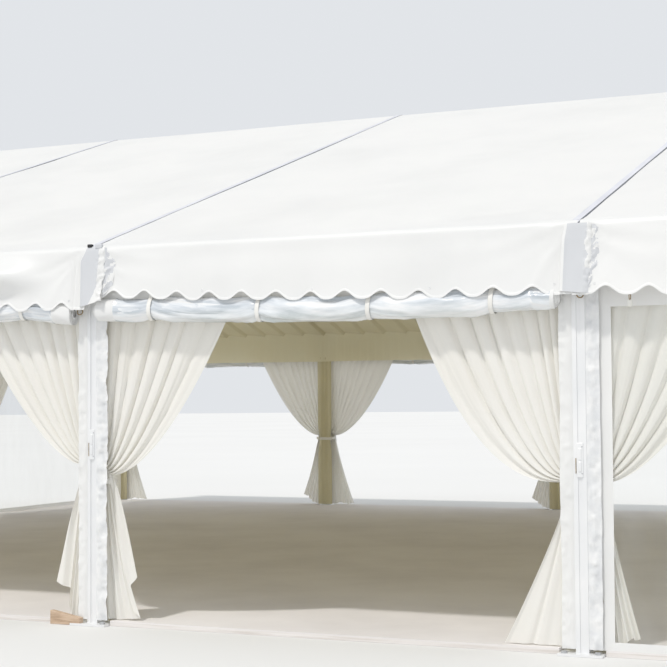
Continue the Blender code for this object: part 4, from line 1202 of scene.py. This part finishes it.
# Inner and outer edges of the strips, from a leg's centre
USUAL_EDGES = (0.030, 0.104)
STRIP_EDGES = {
    ("front", 2, "left"): (0.027, 0.091),
    ("front", 2, "right"): (0.022, 0.112),
    ("front", 3, "left"): (0.029, 0.104),
    ("front", 3, "right"): (0.033, 0.112),
}
FLAT_STRIP = ("front", 3, "right")  # lies against the window wall
USUAL_RING = -0.05  # from a leg's centre
RING_SHIFTS = {("front", 2): -0.060, ("front", 3): 0.023}
RING_OUT, RING_HEIGHT = 0.040, 1.872
USUAL_OPENING = (0.010, -0.010, 0.013, 0.009)  # along, up, half its width and half its height
OPENINGS = {("front", 2): (0.033, 0.010, 0.016, 0.010), ("front", 3): (0.004, -0.032, 0.0105, 0.0075)}
HEM_EYELETS = (-1.38, -0.69, 0.01, 0.71, 1.40)  # midway between the roll's straps
EYELET_HEIGHT = 0.060
PIN_SPREAD, PIN_HEIGHT = 0.09, 0.018  # of the pins through a base plate
TOGGLE_LOW, TOGGLE_HIGH, LOOP_HEIGHT = 1.800, 1.836, 1.852
TOGGLE_OUT = 0.055
TOGGLE_ARCHES = (1, 5, 9)
BOARD_LEFT, BOARD_RIGHT, BOARD_CUT = 0.265, 0.055, 0.16  # from the third leg's centre
BOARD_FAR, BOARD_NEAR, BOARD_TALL = 0.052, 0.012, 0.068
USUAL_LATCH = 1.01
LATCH_HEIGHTS = {("front", 2): 1.075}
# Left, right, reach, bottom and top from the latch's middle, finish and bevel
LATCH_PLATES = (
    (-0.018, 0.018, 0.006, -0.090, 0.090, ALUMINIUM, 0.003),
    (-0.008, 0.010, 0.012, -0.060, -0.006, ALUMINIUM, 0.004),
    (-0.008, 0.010, 0.012, 0.000, 0.062, ALUMINIUM, 0.004),
)
# A thin brass-brown plate at the latch's left: a painted shadow in its gap
LATCH_SHADOW = (-0.0235, -0.0195, 0.0055, -0.070, 0.010, BRASS, 0.001)


def leg_strips(side, number):
    """Two white strips beaded into a leg's slots, which the walls fasten to; their free edges pucker."""
    sign = SIGN[side]
    for label in ("left", "right"):
        towards = SIGN[label]
        if beyond_end(number, towards):
            continue
        seed = seed_of("strip", side, number) + towards
        inner, outer = STRIP_EDGES.get((side, number, label), USUAL_EDGES)
        column = np.linspace(FLOOR_TOP + 0.002, DRAPE_TOP + 0.03, 170)
        a, z = np.meshgrid(np.linspace(0, 1, 8), column)
        wave = 0.0025 * noise(z * 7.5, 0.5, seed) + 0.0020 * noise(z * 17, 0.5, seed + 1)
        width = outer - inner + wave * 0.8 + 0.004 * noise(z * 2.2, 0.5, seed + 2)
        x = FRAME_X[number] + towards * (inner + width * a)
        # Strips on the right as seen from outside take the greyer mottled cloth, painted shade
        slack, finish = (1.5, PAINTED_SHADE_PVC) if towards * -sign > 0 else (0.8, PVC)
        gathered = 0.008 * (creases(z * 9 + 3, a * 1.3, seed + 3) - 0.40)
        gathered = slack * (gathered + 0.0075 * (creases(z * 20, a * 2.2, seed + 4) - 0.40))
        back = 0.0
        if (side, number, label) == FLAT_STRIP:
            gathered = gathered * (1 - 0.85 * smoothstep(a, 0.6, 1.0))
            back = max(0.0, LEG_FACE + 0.0015 + WALL_PLANE - 0.012)
            back = back * smoothstep(a, 0.1, 0.9) * smoothstep(z, 0.40, 0.55)
        edges = 0.0012 * smoothstep(a, 0.80, 0.84) + 0.0055 * smoothstep(a, 0, 0.12)
        proud = np.maximum(gathered + 0.003, 0) * smoothstep(a, 0, 0.4)
        points = xyz(x, sign * (LEG_FACE - 0.004 + edges + proud - back), z)
        grids = [(facing(points, sign * towards < 0),)]
        piece = surface(f"leg_strip_{side}_{number + 1}_{label}", grids, [finish])


def rounded_box(name, low, high, finish, bevel):
    """A block with rounded edges, between two corners in any order."""
    low, high = (Vector([pick(ends) for ends in zip(low, high)]) for pick in (min, max))
    bpy.ops.mesh.primitive_cube_add(size=1)
    made = bpy.context.object
    made.name = made.data.name = name
    size = Matrix.Diagonal((*(high - low), 1))
    made.data.transform(Matrix.Translation((low + high) / 2) @ size)
    modifier = made.modifiers.new("rounded", "BEVEL")
    modifier.width = bevel
    modifier.segments = 2
    made.data.materials.append(finish)
    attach(made, "root")
    return made


def merged(name, parts):
    """Several pieces as one, with their modifiers applied."""
    graph = bpy.context.evaluated_depsgraph_get()
    graph.update()
    finish = parts[0].data.materials[0]
    verts, faces, smooth = [], [], []
    for part in parts:
        mesh = part.evaluated_get(graph).data
        start = len(verts)
        verts += [part.matrix_world @ v.co for v in mesh.vertices]
        faces += [[start + i for i in polygon.vertices] for polygon in mesh.polygons]
        smooth += [polygon.use_smooth for polygon in mesh.polygons]
    mesh = bpy.data.meshes.new(name)
    mesh.from_pydata(verts, [], faces)
    mesh.polygons.foreach_set("use_smooth", smooth)
    mesh.materials.append(finish)
    for part in parts:
        bpy.data.objects.remove(part)
    linked(name, mesh)


def torus(centre, axis, major, minor, finish, segments=20):
    radii = {"major_radius": major, "minor_radius": minor}
    bpy.ops.mesh.primitive_torus_add(**radii, major_segments=segments, minor_segments=8)
    made = bpy.context.object
    made.data.shade_smooth()
    turn = Vector((0, 0, 1)).rotation_difference(Vector(axis)).to_matrix().to_4x4()
    made.data.transform(Matrix.Translation(Vector(centre)) @ turn)
    made.data.materials.append(finish)
    return made


def leg_head(side, number):
    """The ring under a cover, the rafter's open end as a black block painted as the shade inside it, and a
    tab beside it.
    """
    sign, x = SIGN[side], FRAME_X[number]
    shift = RING_SHIFTS.get((side, number), USUAL_RING)
    at = (x - sign * shift, sign * (LEG_FACE + RING_OUT), RING_HEIGHT)
    ring = torus(at, (0.3, sign, 0.2), 0.017, 0.0035, BRASS)
    along, up, half_wide, half_tall = OPENINGS.get((side, number), USUAL_OPENING)
    middle = Vector((x - sign * along, sign * (EAVES_FACE + 0.018), EAVES_HIGH.z + 0.008 + up))
    half = Vector((half_wide, 0.014, half_tall))
    # A black block, painted as the shade in the rafter's hollow end
    opening = rounded_box("opening", middle - half, middle + half, CHANNEL_SHADE, 0.006)
    middle = middle + Vector((-sign * 0.064, sign * 0.004, -0.006))
    half = Vector((0.025, 0.012, 0.014))
    return ring, opening, rounded_box("tab", middle - half, middle + half, COVER, 0.006)


def valance_eyelets(side, bay):
    """Eyelets near the hem of one valance."""
    length = FRAME_X[bay + 1] - FRAME_X[bay]
    made = []
    for place in HEM_EYELETS:
        own = length / 2 + place
        s = EAVES_S + valance_drop(bay, side, own) - EYELET_HEIGHT
        out, z = on_sheet(s, sheet_lift(np.array(own), np.array(s), side, bay) + 0.001)
        x = FRAME_X[bay] + own if side == "front" else FRAME_X[bay] + length - own
        centre = (x, SIGN[side] * float(out), float(z))
        made.append(torus(centre, (0, SIGN[side], 0.14), 0.0055, 0.0018, ALUMINIUM, 14))
    return made


def base_pins(side, number):
    """Four pins through a leg's base plate."""
    made = []
    for dx, dy in product((-PIN_SPREAD, PIN_SPREAD), repeat=2):
        bpy.ops.mesh.primitive_cylinder_add(vertices=6, radius=0.017, depth=0.012)
        pin = bpy.context.object
        y = SIGN[side] * (LEG_FACE - 0.06) + dy
        pin.data.transform(Matrix.Translation((FRAME_X[number] + dx, y, PIN_HEIGHT)))
        pin.data.materials.append(STEEL)
        made.append(pin)
    return made


def small_fittings():
    legs = list(product(SIDES, range(BAYS + 1)))
    rings, openings, tabs = zip(*(leg_head(*leg) for leg in legs))
    eyelets = [made for side, bay in product(SIDES, range(BAYS)) for made in valance_eyelets(side, bay)]
    merged("cover_rings", rings)
    merged("valance_eyelets", eyelets)
    merged("rafter_end_openings", openings)
    merged("rafter_end_tabs", tabs)
    merged("base_plate_pins", [pin for leg in legs for pin in base_pins(*leg)])


def leg_latches():
    """A lever latch on each leg's face, with a screw above and below it and a brown plate at its left,
    painted as the shadow in its gap.
    """
    plates, screws, painted_shadows = [], [], []
    for side, number in product(SIDES, range(BAYS + 1)):
        sign, x = SIGN[side], FRAME_X[number]
        z = LATCH_HEIGHTS.get((side, number), USUAL_LATCH)
        face = sign * LEG_FACE
        for left, right, reach, bottom, top, finish, bevel in (*LATCH_PLATES, LATCH_SHADOW):
            low = (x - sign * left, face - sign * 0.004, z + bottom)
            high = (x - sign * right, face + sign * reach, z + top)
            made = rounded_box("latch", low, high, finish, bevel)
            (painted_shadows if finish is BRASS else plates).append(made)
        for height in (-0.070, 0.070):
            at = (x - sign * 0.0125, face + sign * 0.0062, z + height)
            screws.append(torus(at, (0, sign, 0), 0.0026, 0.0016, STEEL, 12))
    merged("leg_latches", plates)
    merged("latch_painted_shadows", painted_shadows)
    merged("latch_screws", screws)


def packing_board():
    """A short board on edge beside the third leg's foot, cut lower at its right end."""
    x = FRAME_X[2]
    low = (x - BOARD_LEFT, -LEG_FACE - BOARD_FAR, 0.0)
    high = (x - BOARD_RIGHT, -LEG_FACE - BOARD_NEAR, BOARD_TALL)
    board = rounded_box("packing_board", low, high, TIMBER, 0.003)
    for vertex in board.data.vertices:
        if vertex.co.z > BOARD_TALL / 2:
            vertex.co.z += 0.014 if vertex.co.x < x - BOARD_CUT else -0.024


def slope_block(start, size, lift, sign, finish):
    """A long block down a slope: start is (x, distance out, half width), size is (reach, thickness)."""
    x, out, half_width = start
    reach, thickness = size
    length = reach / math.cos(PITCH)
    bpy.ops.mesh.primitive_cube_add(size=1)
    made = bpy.context.object
    for step in (
        Matrix.Diagonal((2 * half_width, length, thickness, 1)),
        Matrix.Translation((0, -length / 2, lift - thickness / 2)),
        Matrix.Rotation(PITCH, 4, "X"),
        Matrix.Translation((0, -out, RIDGE_Z - out * RISE + 0.001)),
        Matrix.Rotation(math.pi if sign > 0 else 0, 4, "Z"),
        Matrix.Translation((x, 0, 0)),
    ):
        made.data.transform(step)
    made.data.materials.append(finish)
    return made


def strip_grooves():
    """The ends of the bare rafter strips, and dark strips in the grooves between them and the sheets beside
    them, painted as the grooves' shadow.
    """
    noses, grooves = [], []
    nose = (EAVES_FACE + 0.014 - LEG_FACE, 0.012)
    for (number, x), sign in product(enumerate(FRAME_X), (-1, 1)):
        noses.append(slope_block((x, LEG_FACE - 0.01, 0.0225), nose, -0.0035, sign, STRIP_METAL))
        # The painted shadow is wide on the right, where the groove lies in shade, and thin on the left
        for towards, middle, half_width in ((-1, 0.0225, 0.0012), (1, 0.0262, 0.0066)):
            if not beyond_end(number, towards):
                start = (x + towards * middle, 0.0, half_width)
                grooves.append(slope_block(start, (EAVES_FACE, 0.004), 0.0, sign, GROOVE_SHADOW))
    merged("rafter_strip_ends", noses)
    merged("rafter_groove_shadows", grooves)


def toggles():
    """Small ties that hold the valance of the closed bays to their window walls."""
    parts, loops = [], []
    for sign, k in product((-1, 1), TOGGLE_ARCHES):
        own = ARCH_STARTS["front", 3] + ARCH_PITCH * 1.02 * (k - 0.5)
        x = FRAME_X[-2] + own if sign < 0 else FRAME_X[-1] - own
        y = sign * (LEG_FACE + TOGGLE_OUT)
        low, high = (x - 0.012, y - 0.008, TOGGLE_LOW), (x + 0.012, y + 0.008, TOGGLE_HIGH)
        parts.append(rounded_box("toggle", low, high, WEBBING, 0.004))
        loops.append(torus((x, y, LOOP_HEIGHT), (1, 0, 0), 0.018, 0.0026, BRASS, 16))
    merged("valance_toggles", parts)
    merged("toggle_loops", loops)


# Frame finishes, stage, light and camera


def dress_frame():
    """Better materials on the CAD pieces that stay."""
    for name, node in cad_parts.items():
        if name.startswith(("leg_", "rafters_", "eaves_", "ridge_", "gable_frame", "floor")):
            finish = {"floor": CARPET, "rafters": STRIP_METAL}.get(name.split("_")[0], ALUMINIUM)
            for slot in node.material_slots:
                slot.material = finish


def stage():
    bpy.ops.mesh.primitive_circle_add(vertices=96, radius=160, fill_type="NGON", location=(0, 0, -0.001))
    floor = bpy.context.object
    floor.name = "stage_floor"
    make = Finish("stage_floor")
    greys = [(0.3, (0.74, 0.74, 0.73)), (0.7, (0.77, 0.77, 0.76))]
    colour = make.ramp(make.speckle(0.15, 2), greys)
    make.feed(make.shader, {"Base Color": colour, "Roughness": 0.9, "Specular IOR Level": 0.1})
    floor.data.materials.append(make.material)


def lights():
    world = bpy.data.worlds.new("studio")
    world.use_nodes = True
    background = world.node_tree.nodes["Background"]
    background.inputs["Color"].default_value = (0.92, 0.955, 1.0, 1)
    background.inputs["Strength"].default_value = 0.83
    bpy.context.scene.world = world
    sun = bpy.data.lights.new("key", "SUN")
    sun.energy = 1.95
    sun.color = (1.0, 0.965, 0.91)
    sun.angle = math.radians(4)
    lamp = bpy.data.objects.new("key", sun)
    bpy.context.scene.collection.objects.link(lamp)
    lamp.rotation_mode = "QUATERNION"
    lamp.rotation_quaternion = Vector((0.20, 0.52, -0.83)).to_track_quat("-Z", "Y")
    view = bpy.context.scene.view_settings
    view.view_transform = "Standard"
    view.exposure = -0.09
    view.gamma = 1.22


# The photograph's camera, solved from the legs and rafters
EYE = (5.1853, -12.9488, 1.3298)
YAW, TILT, ROLL = 0.4242, 0.0429, -0.0069
LENS = 84.12


def camera():
    data = bpy.data.cameras.new("camera")
    data.sensor_width = 36
    data.lens = LENS
    data.clip_end = 400
    made = bpy.data.objects.new("camera", data)
    bpy.context.scene.collection.objects.link(made)
    forward = Vector((-math.sin(YAW) * math.cos(TILT), math.cos(YAW) * math.cos(TILT), math.sin(TILT)))
    level = Vector((math.cos(YAW), math.sin(YAW), 0))
    steep = level.cross(forward)
    right = math.cos(ROLL) * level + math.sin(ROLL) * steep
    up = -math.sin(ROLL) * level + math.cos(ROLL) * steep
    turn = Matrix((right, up, -forward)).transposed()
    made.matrix_world = Matrix.Translation(EYE) @ turn.to_4x4()
    bpy.context.scene.camera = made


dress_frame()
for bay in range(BAYS):
    roof_sheet(bay)
for end in ("left", "right"):
    gable_panel(end)
    gable_wall(end)
    gable_drapes(end)
for long_side in SIDES:
    for bay in range(BAYS - 1):
        rolled_wall(long_side, bay)
    window_wall(long_side)
    for leg in range(BAYS + 1):
        leg_drapes(long_side, leg)
        leg_strips(long_side, leg)
        leg_cover(long_side, leg)
        leg_lining(long_side, leg)
    pelmet(long_side)
ceiling()
small_fittings()
leg_latches()
packing_board()
strip_grooves()
toggles()
stage()
lights()
camera()
bpy.context.view_layer.update()
